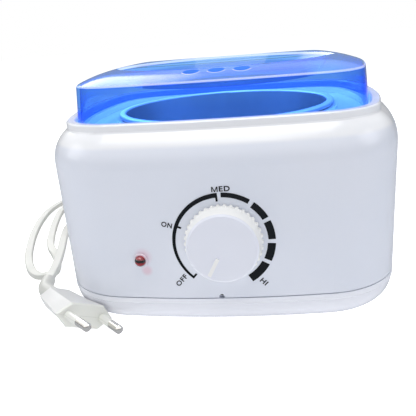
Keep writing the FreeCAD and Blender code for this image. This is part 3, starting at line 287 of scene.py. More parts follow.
def towards(tree, direction, aim, low, high, least, most):
    """A soft patch of brightness round one direction of the room."""
    nearness = vector_maths(tree, "DOT_PRODUCT", direction, Vector(aim).normalized())
    return step(tree, nearness, low, high, least, most)


def white_to(tree, path):
    """Strength of the room's white: even for the eye; for gloss, a ceiling and two soft boxes."""
    direction = add_node(tree, "ShaderNodeTexCoord").outputs["Generated"]
    ceiling, top_box, back_box = (towards(tree, direction, *patch)
                                  for patch in (CEILING, TOP_BOX, BACK_BOX))
    bright = maths(tree, "ADD", ceiling, maths(tree, "ADD", top_box, back_box))
    node = add_node(tree, "ShaderNodeMix", {0: path.outputs["Is Glossy Ray"], 2: 1.0, 3: bright})
    return node.outputs[0]


def white_room():
    """World that looks white and throws a soft, slightly cool light."""
    world = bpy.data.worlds.new("white_room")
    tree = emptied(world)
    path = tree.nodes.new("ShaderNodeLightPath")
    soft = add_node(tree, "ShaderNodeBackground", {"Color": SOFT_COLOUR, "Strength": SOFT_LIGHT})
    white = add_node(tree, "ShaderNodeBackground",
                     {"Color": (1, 1, 1, 1), "Strength": white_to(tree, path)})
    looked_at = maths(tree, "MAXIMUM", path.outputs["Is Camera Ray"],
                      path.outputs["Is Glossy Ray"])
    looked_at = maths(tree, "MAXIMUM", looked_at, path.outputs["Is Transmission Ray"])
    room = mixed_shader(tree, looked_at, soft, white)
    add_node(tree, "ShaderNodeOutputWorld", {"Surface": room.outputs[0]})
    scene.world = world


white_room()
scene.view_settings.view_transform = "Standard"
print("world:", scene.world.name, "soft light", SOFT_LIGHT)

# %% [markdown]
# ## The paper and the lamps
#
# The floor is a wide disc of paper. To the eye it adds a little white of its own to what the
# lamps give it, so it fades into the room and still keeps the object's shadow. Glossy walls see
# it darker, which draws their lower edges. One large lamp stands overhead, and three small ones
# open up the sides and the back.

# %% Floor and lamps
FLOOR_RADIUS = 4.0
PAPER, PAPER_IN_GLOSS = (0.90, 0.90, 0.91, 1), (0.60, 0.61, 0.64, 1)
LIFT_SEEN, LIFT_MATT = 0.46, 0.34
LAMP_AIM = Vector((0, 0, 0.05))


def white_paper():
    """Matt white paper that glows a little where it is looked at."""
    material = bpy.data.materials.new("white_paper")
    tree = emptied(material)
    path = tree.nodes.new("ShaderNodeLightPath")
    colour = mixed_colour(tree, path.outputs["Is Glossy Ray"], PAPER, PAPER_IN_GLOSS)
    paper = add_node(tree, "ShaderNodeBsdfDiffuse", {"Color": colour})
    seen = maths(tree, "MAXIMUM", path.outputs["Is Camera Ray"],
                 path.outputs["Is Transmission Ray"])
    not_gloss = maths(tree, "SUBTRACT", 1.0, path.outputs["Is Glossy Ray"])
    lift = maths(tree, "ADD", maths(tree, "MULTIPLY", seen, LIFT_SEEN),
                 maths(tree, "MULTIPLY", LIFT_MATT, not_gloss))
    glow = add_node(tree, "ShaderNodeEmission", {"Color": (1, 1, 1, 1), "Strength": lift})
    both = add_node(tree, "ShaderNodeAddShader", {0: paper.outputs[0], 1: glow.outputs[0]})
    add_node(tree, "ShaderNodeOutputMaterial", {"Surface": both.outputs[0]})
    return material


def paper_floor():
    """A large disc of white paper under the object."""
    mesh = bpy.data.meshes.new("paper_floor")
    bm = bmesh.new()
    bmesh.ops.create_circle(bm, cap_ends=True, segments=96, radius=FLOOR_RADIUS)
    bm.to_mesh(mesh)
    bm.free()
    mesh.materials.append(white_paper())
    floor = bpy.data.objects.new("paper_floor", mesh)
    scene.collection.objects.link(floor)
    floor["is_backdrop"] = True


def soft_lamp(name, place, power, size, colour):
    """A square soft lamp aimed at the object."""
    lamp = bpy.data.lights.new(name, "AREA")
    lamp.energy = power
    lamp.size = size
    lamp.color = colour
    holder = bpy.data.objects.new(name, lamp)
    turn = (Vector(place) - LAMP_AIM).to_track_quat("Z", "Y")
    holder.matrix_world = Matrix.Translation(place) @ turn.to_matrix().to_4x4()
    scene.collection.objects.link(holder)


# Name, place, power in watts, size in metres, colour.
LAMPS = [
    ("overhead_lamp", (-0.08, -0.18, 1.08), 6.9, 0.9, (1.0, 0.985, 0.96)),
    ("left_lamp", (-1.15, -0.20, 0.52), 1.8, 0.6, (1, 1, 1)),
    ("back_left_lamp", (-0.75, 0.95, 0.80), 0.9, 0.6, (1, 1, 1)),
    ("right_lamp", (1.10, -0.20, 0.52), 1.7, 0.6, (0.93, 0.95, 1.0)),
]
paper_floor()
for lamp_row in LAMPS:
    soft_lamp(*lamp_row)
print("lamps:", [row[0] for row in LAMPS])

# %% [markdown]
# ## Shared surface effects
#
# Moulded plastic is never quite even. It has a fine grain from the steel mould, slow waves where
# thick ribs pulled it in while it cooled, and faint rubbed patches that shine differently. Each
# material could hold its own copy of these nodes. The same effects suit the housing, the knob,
# the plug and the inner parts, though, so they are built once as a node group, and each material
# sets its own strengths.

# %% Helpers for surface groups
def new_group(name, inputs, outputs):
    """An empty node group with the given sockets; returns the tree and its two end nodes."""
    tree = bpy.data.node_groups.new(name, "ShaderNodeTree")
    for label, kind, default in inputs:
        socket = tree.interface.new_socket(label, in_out="INPUT", socket_type=kind)
        if default is not None:
            socket.default_value = default
    for label, kind in outputs:
        tree.interface.new_socket(label, in_out="OUTPUT", socket_type=kind)
    return tree, tree.nodes.new("NodeGroupInput"), tree.nodes.new("NodeGroupOutput")


def noise(tree, vector, scale, detail=2.0, roughness=0.5):
    """Value of a noise texture."""
    node = add_node(tree, "ShaderNodeTexNoise", {
        "Vector": vector, "Scale": scale, "Detail": detail, "Roughness": roughness})
    return node.outputs["Fac"]


# Most of a noise texture lies between these two values.
NOISE_LOW, NOISE_HIGH = 0.25, 0.75


def spread(tree, value, low, high):
    """A noise value carried to a range."""
    node = add_node(tree, "ShaderNodeMapRange", {
        "Value": value, "From Min": NOISE_LOW, "From Max": NOISE_HIGH,
        "To Min": low, "To Max": high})
    return node.outputs[0]


def bumped(tree, height):
    """The surface's normal, bent by a height in metres."""
    node = add_node(tree, "ShaderNodeBump", {"Height": height, "Distance": 1.0, "Strength": 1.0})
    return node.outputs[0]


def surface_group(name, sizes):
    """A surface group with the sockets that all of them share, and its own sizes after them."""
    return new_group(name, [
        ("Vector", "NodeSocketVector", None), ("Colour", "NodeSocketColor", None),
        ("Second Colour", "NodeSocketColor", None), ("Roughness", "NodeSocketFloat", 0.3),
        ("Unevenness", "NodeSocketFloat", 0.05),
    ] + [(label, "NodeSocketFloat", value) for label, value in sizes], [
        ("Colour", "NodeSocketColor"), ("Roughness", "NodeSocketFloat"),
        ("Normal", "NodeSocketVector")])


def close_surface(tree, given, out, tone, wear, height):
    """Ends a group: tone mixes its two colours, wear moves its roughness, height bends it."""
    colour = mixed_colour(tree, spread(tree, tone, 0.0, 1.0), given.outputs["Colour"],
                          given.outputs["Second Colour"])
    base, uneven = given.outputs["Roughness"], given.outputs["Unevenness"]
    rough = spread(tree, wear, maths(tree, "SUBTRACT", base, uneven),
                   maths(tree, "ADD", base, uneven))
    tree.links.new(colour, out.inputs["Colour"])
    tree.links.new(rough, out.inputs["Roughness"])
    tree.links.new(bumped(tree, height), out.inputs["Normal"])


print("surface helpers ready")

# %% Moulded surface group
def moulded_surface():
    """Grain, slow waves and rubbed patches of a moulded skin."""
    tree, given, out = surface_group("moulded_surface", [
        ("Grain Scale", 2500.0), ("Grain Height", 0.00001), ("Wave Height", 0.00004)])
    place = given.outputs["Vector"]
    drift = noise(tree, place, 22.0, 3.0)
    patch = noise(tree, place, 95.0, 4.0, 0.6)
    wave = noise(tree, place, 34.0, 1.0)
    grain = noise(tree, place, given.outputs["Grain Scale"], 2.0, 0.6)
    height = maths(tree, "ADD", maths(tree, "MULTIPLY", wave, given.outputs["Wave Height"]),
                   maths(tree, "MULTIPLY", grain, given.outputs["Grain Height"]))
    close_surface(tree, given, out, drift, patch, height)
    return tree


MOULDED = moulded_surface()
print("group:", MOULDED.name, [item.name for item in MOULDED.interface.items_tree])

# %% [markdown]
# ## White housing plastic
#
# The shell, the pan and the lamp's ring are glossy white ABS with a faint cool cast. Light sinks
# a little way into white plastic, which softens its edges, so a touch of subsurface scattering
# is added. The knob is the same plastic with a finer, duller finish, and the lead and the plug
# are PVC, warmer and softer looking. Painted images could carry the small changes of tone, among
# them the painted light on the neck and the pan, the painted highlight on the knob's band and the
# painted shade in the notch and on the plug's face, but an image has a fixed sharpness. Masks
# worked out from places on the object stay sharp at any distance.

# %% Plastic material
def plastic(name, colour, second, roughness, uneven=0.04, grain=2500.0, grain_height=0.000008,
            wave_height=0.00003, coat=0.0, scatter=0.0, specular=0.5, recolour=None):
    """A moulded plastic built on the shared surface group; recolour may tone parts of it."""
    material = bpy.data.materials.new(name)
    tree = emptied(material)
    place = add_node(tree, "ShaderNodeTexCoord").outputs["Object"]
    skin = add_node(tree, "ShaderNodeGroup", {
        "Vector": place, "Colour": (*colour, 1), "Second Colour": (*second, 1),
        "Roughness": roughness, "Unevenness": uneven, "Grain Scale": grain,
        "Grain Height": grain_height, "Wave Height": wave_height}, node_tree=MOULDED)
    toned = skin.outputs["Colour"]
    if recolour is not None:
        toned = recolour(tree, place, toned)
    shader = add_node(tree, "ShaderNodeBsdfPrincipled", {
        "Base Color": toned, "Roughness": skin.outputs["Roughness"],
        "Normal": skin.outputs["Normal"], "Coat Weight": coat, "Coat Roughness": 0.08,
        "Specular IOR Level": specular, "Subsurface Weight": scatter, "Subsurface Scale": 0.002,
        "Subsurface Radius": (1.0, 0.9, 0.85)})
    add_node(tree, "ShaderNodeOutputMaterial", {"Surface": shader.outputs[0]})
    return material


def along(tree, place, centre, direction):
    """How far a point lies from a centre along a direction, in metres."""
    offset = vector_maths(tree, "SUBTRACT", place, centre, "Vector")
    return vector_maths(tree, "DOT_PRODUCT", offset, direction)


print("plastic stands on the group", MOULDED.name)

# %% Tones of the housing, with painted light and painted shade
# Painted light: a whiter neck under the rim and a whiter pan below the seam. Painted shade: the
# dark inside of the notch.
NECK_Z, NECK_PAINTED_LIGHT = (0.0840, 0.0862), (0.94, 0.95, 0.98, 1)
PAN_Z, PAN_PAINTED_LIGHT = (0.0145, 0.0160), (0.915, 0.93, 0.995, 1)
NOTCH, NOTCH_REACH = (-0.0006, -0.0697, 0.0166), (0.0009, 0.0012)
UNLIT = (0.004, 0.004, 0.006, 1)
# Pink light round the pilot lamp, above it and to its lower right: centre, reach, strength.
LAMP_HALOS = [((-0.0350, -0.0688, 0.0362), 0.0052, 0.55),
              ((-0.0338, -0.0688, 0.0296), 0.0034, 0.50)]
HALO_START, HALO_PINK = 0.0008, (0.88, 0.52, 0.62, 1)


def lamp_glow(tree, place, colour):
    """Pink light of the pilot lamp on the wall round it."""
    for centre, reach, most in LAMP_HALOS:
        near = fade(tree, vector_maths(tree, "DISTANCE", place, centre), HALO_START, reach)
        colour = mixed_colour(tree, maths(tree, "MULTIPLY", near, most), colour, HALO_PINK)
    return colour


def housing_tones(tree, place, colour):
    """Painted light on neck and pan, the lamp's glow, painted shade in the notch above the seam."""
    height = add_node(tree, "ShaderNodeSeparateXYZ", {0: place}).outputs["Z"]
    colour = mixed_colour(tree, step(tree, height, *NECK_Z), colour, NECK_PAINTED_LIGHT)
    colour = mixed_colour(tree, fade(tree, height, *PAN_Z), colour, PAN_PAINTED_LIGHT)
    colour = lamp_glow(tree, place, colour)
    inside = fade(tree, vector_maths(tree, "DISTANCE", place, NOTCH), *NOTCH_REACH)
    return mixed_colour(tree, inside, colour, UNLIT)


print("neck from z =", NECK_Z[0], "pan up to z =", PAN_Z[1])

# %% Tones of the knob and the plug, with a painted highlight and painted shade
# Depths are counted forwards from the face, in metres; each pair is a soft step.
KNOB_FACE, FORWARDS = (0.0, -0.0793, 0.0), (0.0, -1.0, 0.0)
# The whiter band behind the face is a painted highlight; the pointer is white of its own.
BAND_DEPTH, POINTER_DEPTH, BAND_HIGHLIGHT_AND_POINTER_WHITE = (-0.0010, -0.0006), (0.0001, 0.0003), (0.98, 0.98, 0.965, 1)
PLUG_CENTRE = (-0.0636, -0.0745, 0.0100)
PLUG_AXIS, PLUG_UP = (0.7098, -0.7024, 0.0541), (0.2817, 0.3533, 0.8921)
# The tint of the plug's front face is painted shade.
FACE_DEPTH, PLUG_FACE_SHADE_TINT = (-0.0011, -0.0007), (0.86, 0.865, 0.81, 1)
SEAM_HALF, SEAM_SHARE, PLUG_SEAM = (0.00006, 0.00020), 0.35, (0.55, 0.55, 0.50, 1)


def knob_tones(tree, place, colour):
    """Band behind the face whitened as a painted highlight, and the white pointer in front of it.
    """
    depth = along(tree, place, KNOB_FACE, FORWARDS)
    band = fade(tree, depth, *BAND_DEPTH)
    pointer = step(tree, depth, *POINTER_DEPTH)
    return mixed_colour(tree, maths(tree, "MAXIMUM", band, pointer), colour, BAND_HIGHLIGHT_AND_POINTER_WHITE)


def plug_tones(tree, place, colour):
    """Painted shade tint on the front face, and the mould's parting line round the body's middle.
    """
    face = step(tree, along(tree, place, PLUG_CENTRE, PLUG_AXIS), *FACE_DEPTH)
    toned = mixed_colour(tree, face, colour, PLUG_FACE_SHADE_TINT)
    height = maths(tree, "ABSOLUTE", along(tree, place, PLUG_CENTRE, PLUG_UP))
    line = maths(tree, "MULTIPLY", fade(tree, height, *SEAM_HALF), SEAM_SHARE)
    return mixed_colour(tree, line, toned, PLUG_SEAM)


print("knob's face at y =", KNOB_FACE[1])

# %% Plastics of the parts
HOUSING = plastic("glossy_white_abs", (0.835, 0.86, 0.94), (0.805, 0.84, 0.93), 0.20, 0.05,
                  grain_height=0.000004, wave_height=0.00005, coat=0.25, scatter=0.06,
                  recolour=housing_tones)
KNOB = plastic("satin_white_abs", (0.865, 0.885, 0.965), (0.845, 0.865, 0.955), 0.34, 0.05,
               grain=3800.0, grain_height=0.00001, recolour=knob_tones)
FLEX = plastic("white_flex_pvc", (0.68, 0.68, 0.645), (0.64, 0.645, 0.605), 0.42, 0.07,
               grain=1800.0, grain_height=0.00002, wave_height=0.00006, scatter=0.05,
               specular=0.35)
PLUG = plastic("white_plug_pvc", (0.80, 0.80, 0.79), (0.78, 0.78, 0.77), 0.36, 0.06,
               grain=2000.0, grain_height=0.00002, scatter=0.05, recolour=plug_tones)
DARK = plastic("grey_inner_plastic", (0.30, 0.31, 0.33), (0.26, 0.27, 0.29), 0.50, 0.08)
CREAM = plastic("cream_fuse_ceramic", (0.86, 0.80, 0.62), (0.80, 0.74, 0.56), 0.30, 0.06)
SILICONE = plastic("red_oxide_silicone", (0.62, 0.24, 0.16), (0.56, 0.21, 0.14), 0.55, 0.08,
                   grain=900.0, grain_height=0.00002)
RUBBER = plastic("dark_foot_rubber", (0.060, 0.060, 0.066), (0.045, 0.045, 0.05), 0.72, 0.10,
                 grain=1400.0, grain_height=0.00004)
INSULATION = plastic("brown_wire_sleeve", (0.30, 0.13, 0.07), (0.25, 0.11, 0.06), 0.40, 0.06)
print("plastics:", [m.name for m in (HOUSING, KNOB, FLEX, PLUG, DARK, CREAM, SILICONE, RUBBER)])

# %% [markdown]
# ## Metals
#
# The pot and the well are drawn from aluminium sheet on a turning tool, which leaves fine rings
# round the axis, and the pot's rim is made brighter, a painted highlight. Screws, nuts and the
# shield are steel, and the plug's pins are nickel plated. Anisotropic gloss could stand for the
# rings, but real rings can be seen up close. So one group makes them from the distance to the
# axis, and they run round the pot on its wall, its floor and its rim.

# %% Turned metal group
def hypotenuse(tree, across, deep):
    """Length of a slanting line from its two parts."""
    square = maths(tree, "ADD", maths(tree, "MULTIPLY", across, across),
                   maths(tree, "MULTIPLY", deep, deep))
    return maths(tree, "SQRT", square)


def turned_metal():
    """Fine rings round the Z axis with cloudy patches."""
    tree, given, out = surface_group("turned_metal", [
        ("Ring Scale", 900.0), ("Ring Height", 0.00001)])
    parts = add_node(tree, "ShaderNodeSeparateXYZ", {0: given.outputs["Vector"]})
    reach = hypotenuse(tree, parts.outputs["X"], parts.outputs["Y"])
    line = add_node(tree, "ShaderNodeCombineXYZ", {"X": reach, "Y": parts.outputs["Z"], "Z": 0.0})
    rings = noise(tree, line.outputs[0], given.outputs["Ring Scale"], 3.0, 0.7)
    cloud = noise(tree, given.outputs["Vector"], 60.0, 4.0, 0.6)
    height = maths(tree, "MULTIPLY", rings, given.outputs["Ring Height"])
    close_surface(tree, given, out, cloud, cloud, height)
    return tree


TURNED = turned_metal()
print("group:", TURNED.name)

# %% Metal materials
# A painted highlight on the pot's rim, above the height given as bright.
RIM_HIGHLIGHT_WHITE, RIM_SOFT = (0.96, 0.96, 0.97, 1), 0.0006


def metal(name, colour, second, roughness, uneven, scale, height, centre=(0, 0, 0), bright=None):
    """A metal with rings turned round a point of the object, and a painted highlight above one
    height.
    """
    material = bpy.data.materials.new(name)
    tree = emptied(material)
    place = add_node(tree, "ShaderNodeTexCoord").outputs["Object"]
    centred = add_node(tree, "ShaderNodeMapping", {
        "Vector": place, "Location": [-value for value in centre]})
    skin = add_node(tree, "ShaderNodeGroup", {
        "Vector": centred.outputs[0], "Colour": (*colour, 1), "Second Colour": (*second, 1),
        "Roughness": roughness, "Unevenness": uneven, "Ring Scale": scale,
        "Ring Height": height}, node_tree=TURNED)
    toned = skin.outputs["Colour"]
    if bright is not None:
        height_up = add_node(tree, "ShaderNodeSeparateXYZ", {0: place}).outputs["Z"]
        rim_highlight = step(tree, height_up, bright, bright + RIM_SOFT)
        toned = mixed_colour(tree, rim_highlight, toned, RIM_HIGHLIGHT_WHITE)
    shader = add_node(tree, "ShaderNodeBsdfPrincipled", {
        "Base Color": toned, "Roughness": skin.outputs["Roughness"],
        "Normal": skin.outputs["Normal"], "Metallic": 1.0})
    add_node(tree, "ShaderNodeOutputMaterial", {"Surface": shader.outputs[0]})
    return material


POT_AXIS = (0.0, 0.0047, 0.0)
POT_RIM_Z = 0.0908
ALUMINIUM = metal("turned_aluminium", (0.46, 0.51, 0.56), (0.43, 0.48, 0.53), 0.50, 0.03,
                  1400.0, 0.00001, POT_AXIS, bright=POT_RIM_Z)
STEEL = metal("bright_steel", (0.62, 0.63, 0.65), (0.54, 0.55, 0.58), 0.30, 0.08, 900.0, 0.00001)
NICKEL = metal("nickel_plate", (0.76, 0.74, 0.70), (0.68, 0.67, 0.64), 0.14, 0.05, 700.0, 0.000006)
print("metals:", ALUMINIUM.name, STEEL.name, NICKEL.name)

# %% [markdown]
# ## The see-through lid
#
# The lid is injection moulded in clear blue plastic, with thin walls. Light that passes two of
# them loses nearly all its red and most of its green. Solid glass would bend the view and cast
# a dark shadow. So the index of refraction stays near 1, a coat gives the gloss, the inner faces
# only tint, and for shadow rays the lid becomes a plain filter, so that the deck and the pot
# under it are lit.
#
# A slight glow is painted on the lid: painted light on the crown and the top of the walls, and
# painted highlights on the outer top edge, the vents' near rims and the back arc of the dish. The
# vents' round walls and the front arc of the dish get painted shade instead.

# %% Masks on the lid
# All in metres: the lid's middle and half sizes, the dish's two arcs, and the row of vents.
LID_Y, LID_HALF_WIDTH, LID_HALF_DEPTH = 0.0047, 0.0700, 0.0602
DISH_HALF, DISH_ARC, DISH_Z = 0.0430, 0.0592, (0.1085, 0.1095)
VENT_X, VENT_Y, VENT_PITCH, VENT_RADIUS = 0.0012, -0.0439, 0.0112, 0.0036


def within(tree, value, low, high, soft):
    """1 between two values, with soft ends."""
    below = fade(tree, value, high, high + soft)
    return maths(tree, "MULTIPLY", step(tree, value, low - soft, low), below)


def outer_edge(tree, parts):
    """1 near the lid's outer outline, 0 in the dish."""
    across = maths(tree, "DIVIDE", maths(tree, "ABSOLUTE", parts.outputs["X"]), LID_HALF_WIDTH)
    deep = maths(tree, "ABSOLUTE", maths(tree, "SUBTRACT", parts.outputs["Y"], LID_Y))
    outwards = maths(tree, "MAXIMUM", across, maths(tree, "DIVIDE", deep, LID_HALF_DEPTH))
    return step(tree, outwards, 0.82, 0.86)


def vent_masks(tree, parts):
    """Two masks: the vents' round walls, for painted shade, and their near rims, for a painted
    highlight.
    """
    in_row = maths(tree, "SUBTRACT", parts.outputs["X"], VENT_X)
    across = maths(tree, "PINGPONG", in_row, VENT_PITCH)
    across = maths(tree, "MINIMUM", across, maths(tree, "SUBTRACT", VENT_PITCH, across))
    deep = maths(tree, "SUBTRACT", parts.outputs["Y"], VENT_Y)
    away = hypotenuse(tree, across, deep)
    in_reach = fade(tree, maths(tree, "ABSOLUTE", in_row), VENT_PITCH * 1.4, VENT_PITCH * 1.45)
    near_side = step(tree, maths(tree, "MULTIPLY", deep, -1.0), 0.0002, 0.0014)
    wall = within(tree, away, 0.0, VENT_RADIUS + 0.0001, 0.0001)
    rim = within(tree, away, VENT_RADIUS + 0.0002, VENT_RADIUS + 0.0007, 0.0002)
    rim = maths(tree, "MULTIPLY", rim, near_side)
    return maths(tree, "MULTIPLY", wall, in_reach), maths(tree, "MULTIPLY", rim, in_reach)


def dish_edge(tree, parts, side, half_width):
    """1 on one of the two arcs that bound the dish: side 1 is the back one, -1 the front one."""
    deep = maths(tree, "SUBTRACT", parts.outputs["Y"], LID_Y - side * (DISH_ARC - DISH_HALF))
    away = hypotenuse(tree, parts.outputs["X"], deep)
    line = within(tree, away, DISH_ARC - half_width, DISH_ARC + half_width, 0.0003)
    on_side = maths(tree, "MULTIPLY", maths(tree, "SUBTRACT", parts.outputs["Y"], LID_Y), side)
    arc = maths(tree, "MULTIPLY", line, step(tree, on_side, 0.0, 0.002))
    return maths(tree, "MULTIPLY", step(tree, parts.outputs["Z"], *DISH_Z), arc)


lid_top = max(vertex.co.z for vertex in nodes["lid"].data.vertices)
print("lid's crown at z =", round(lid_top, 4))

# %% Painted light and highlights on the lid
# Painted light on the crown and walls, and painted highlights on the edges and the vents' rims.
CROWN_Z, CROWN_GLOW = (0.1096, 0.1106), 0.19
WALL_Z, WALL_GLOW = (0.0980, 0.1080), 0.055
FRONT_Z, EDGE_HIGHLIGHT_GLOW = (0.1096, 0.1100), 0.50
PAINTED_GLOW_BLUE, EDGE_HIGHLIGHT_WHITE = (0.32, 0.82, 0.90, 1), (0.90, 0.95, 1.0, 1)


def painted_lid_light(tree, parts, rims):
    """Colour and strength of painted light on the crown and walls and painted highlights at the
    edges.
    """
    height = parts.outputs["Z"]
    outline = maths(tree, "MULTIPLY", within(tree, height, *FRONT_Z, 0.0005),
                    outer_edge(tree, parts))
    edge = maths(tree, "MAXIMUM", maths(tree, "MAXIMUM", outline, rims),
                 dish_edge(tree, parts, 1.0, 0.0007))
    crown = maths(tree, "MULTIPLY", step(tree, height, *CROWN_Z), CROWN_GLOW)
    wall = maths(tree, "MULTIPLY", step(tree, height, *WALL_Z), WALL_GLOW)
    broad = maths(tree, "MAXIMUM", crown, wall)
    strength = maths(tree, "MAXIMUM", broad, maths(tree, "MULTIPLY", edge, EDGE_HIGHLIGHT_GLOW))
    return mixed_colour(tree, edge, PAINTED_GLOW_BLUE, EDGE_HIGHLIGHT_WHITE), strength


print("glow of crown, wall and edges:", CROWN_GLOW, WALL_GLOW, EDGE_HIGHLIGHT_GLOW)

# %% Lid material
# Tints of the light that enters a wall and leaves it, seen straight on and at a slant.
ENTERING, ENTERING_TOO = (0.27, 0.49, 0.99, 1), (0.24, 0.47, 0.985, 1)
SLANTED, GRAZING = (0.04, 0.24, 0.88, 1), (0.01, 0.07, 0.50, 1)
LEAVING, LEAVING_SLANTED = (0.58, 0.77, 0.998, 1), (0.10, 0.40, 0.94, 1)
# The first colour here is painted shade for the vents' round walls and the dish's front arc.
PAINTED_SHADE_BLUE, SHADOW_TINT = (0.02, 0.14, 0.75, 1), (0.48, 0.62, 0.99, 1)


def clear_blue():
    """Tinted see-through plastic with a faint haze of handling."""
    material = bpy.data.materials.new("clear_blue_lid")
    tree = emptied(material)
    place = add_node(tree, "ShaderNodeTexCoord").outputs["Object"]
    parts = add_node(tree, "ShaderNodeSeparateXYZ", {0: place})
    haze = noise(tree, place, 120.0, 3.0, 0.6)
    slow = noise(tree, place, 26.0, 1.0)
    facing = add_node(tree, "ShaderNodeLayerWeight", {"Blend": 0.5}).outputs["Facing"]
    slant = maths(tree, "POWER", facing, 3.0)
    colour = mixed_colour(tree, spread(tree, slow, 0.0, 1.0), ENTERING, ENTERING_TOO)
    colour = mixed_colour(tree, slant, colour, SLANTED)
    colour = mixed_colour(tree, maths(tree, "POWER", facing, 10.0), colour, GRAZING)
    leaving_colour = mixed_colour(tree, slant, LEAVING, LEAVING_SLANTED)
    walls, rims = vent_masks(tree, parts)
    # Painted shade on the vents' round walls and the front arc of the dish.
    dark = maths(tree, "MAXIMUM", walls, dish_edge(tree, parts, -1.0, 0.0003))
    colour = mixed_colour(tree, dark, colour, PAINTED_SHADE_BLUE)
    # Painted light and painted highlights, given as emission.
    glow, glow_strength = painted_lid_light(tree, parts, rims)
    bent = bumped(tree, maths(tree, "MULTIPLY", slow, 0.00002))
    clear = add_node(tree, "ShaderNodeBsdfPrincipled", {
        "Base Color": colour, "Roughness": spread(tree, haze, 0.01, 0.03), "Normal": bent,
        "Transmission Weight": 1.0, "IOR": 1.02, "Coat Weight": 0.50, "Coat IOR": 1.5,
        "Coat Roughness": 0.02, "Coat Normal": bent,
        "Emission Color": glow, "Emission Strength": glow_strength})
    leaving = add_node(tree, "ShaderNodeBsdfTransparent", {"Color": leaving_colour})
    inside = add_node(tree, "ShaderNodeNewGeometry").outputs["Backfacing"]
    wall = mixed_shader(tree, inside, clear, leaving)
    tint = add_node(tree, "ShaderNodeBsdfTransparent", {"Color": SHADOW_TINT})
    path = tree.nodes.new("ShaderNodeLightPath")
    lid = mixed_shader(tree, path.outputs["Is Shadow Ray"], wall, tint)
    add_node(tree, "ShaderNodeOutputMaterial", {"Surface": lid.outputs[0]})
    return material


LID = clear_blue()
print("lid:", LID.name)

# %% [markdown]
# ## Pilot lamp, glass fibre and printing ink
#
# The pilot lens is a small deep red dome with a neon lamp behind it, dark across its middle. A
# lamp modelled behind clear red glass would take long to render, so the lens glows by itself,
# with the dark gap laid over it as a mask. The sleeve round the well is woven from glass fibre.
# Its threads could be modelled one by one, but two crossed waves make the same weave. The dial
# is printed in matt black ink that is a little thin in places.

# %% Lamp and fibre materials
LENS_CENTRE, BAND_UP = (0.0, 0.0, 0.0344), (0.12, 0.0, 1.0)
# Heights from the lens's centre, in metres: the gap's middle, its half, and the dim foot.
GAP_MIDDLE, GAP_HALF, DIM_FOOT = -0.0030, (0.00045, 0.0008), (-0.0054, -0.0046)
RED, RED_GLINT, DIM = (0.22, 0.004, 0.010, 1), (0.46, 0.035, 0.06, 1), (0.05, 0.02, 0.03, 1)
LENS_GLOW = 0.18
THREAD_SHADE, THREAD = (0.62, 0.60, 0.54, 1), (0.88, 0.86, 0.80, 1)


def glowing_red():
    """Deep red lens with the dark gap of the unlit electrodes across its middle."""
    material = bpy.data.materials.new("red_pilot_lens")
    tree = emptied(material)
    place = add_node(tree, "ShaderNodeTexCoord").outputs["Object"]
    mottle = noise(tree, place, 900.0, 3.0)
    colour = mixed_colour(tree, step(tree, mottle, 0.50, 0.66), RED, RED_GLINT)
    height = along(tree, place, LENS_CENTRE, BAND_UP)
    wavy = maths(tree, "ADD", height, maths(tree, "MULTIPLY", mottle, 0.0012))
    from_gap = maths(tree, "ABSOLUTE", maths(tree, "SUBTRACT", wavy, GAP_MIDDLE))
    gap = fade(tree, from_gap, *GAP_HALF)
    colour = mixed_colour(tree, gap, colour, UNLIT)
    low = fade(tree, wavy, *DIM_FOOT)
    colour = mixed_colour(tree, maths(tree, "MULTIPLY", low, 0.8), colour, DIM)
    lit = maths(tree, "SUBTRACT", 1.0, maths(tree, "MAXIMUM", gap, low))
    shader = add_node(tree, "ShaderNodeBsdfPrincipled", {
        "Base Color": colour, "Roughness": spread(tree, mottle, 0.10, 0.20),
        "Emission Color": colour, "Emission Strength": maths(tree, "MULTIPLY", lit, LENS_GLOW),
        "Coat Weight": 0.5, "Coat Roughness": 0.03})
    add_node(tree, "ShaderNodeOutputMaterial", {"Surface": shader.outputs[0]})
    return material


def threads(tree, place, direction, scale):
    """One set of threads of the weave, as a wave that runs in a direction."""
    node = add_node(tree, "ShaderNodeTexWave", {
        "Vector": place, "Scale": scale, "Distortion": 0.6}, bands_direction=direction)
    return node.outputs["Fac"]


def woven_fibre():
    """Off-white woven glass fibre."""
    material = bpy.data.materials.new("woven_glass_fibre")
    tree = emptied(material)
    place = add_node(tree, "ShaderNodeTexCoord").outputs["Object"]
    weave = maths(tree, "MULTIPLY", threads(tree, place, "Z", 180.0),
                  threads(tree, place, "DIAGONAL", 150.0))
    shader = add_node(tree, "ShaderNodeBsdfPrincipled", {
        "Base Color": mixed_colour(tree, weave, THREAD_SHADE, THREAD),
        "Roughness": spread(tree, weave, 0.7, 0.9),
        "Normal": bumped(tree, maths(tree, "MULTIPLY", weave, 0.0004))})
    add_node(tree, "ShaderNodeOutputMaterial", {"Surface": shader.outputs[0]})
    return material


LENS = glowing_red()
FIBRE = woven_fibre()
INK = plastic("black_dial_ink", (0.004, 0.006, 0.008), (0.012, 0.014, 0.018), 0.55, 0.10,
              grain=6000.0, grain_height=0.000004, wave_height=0.0, specular=0.12)
print("lamp, fibre, ink:", LENS.name, FIBRE.name, INK.name)

# %% [markdown]
# ## Dressing the solids
#
# Every solid of the model gets the finish of the real part. Materials could be dropped on the
# pieces one at a time. A table that lists the pieces of each finish is quicker to check, and the
# last line prints any piece that has been left out.

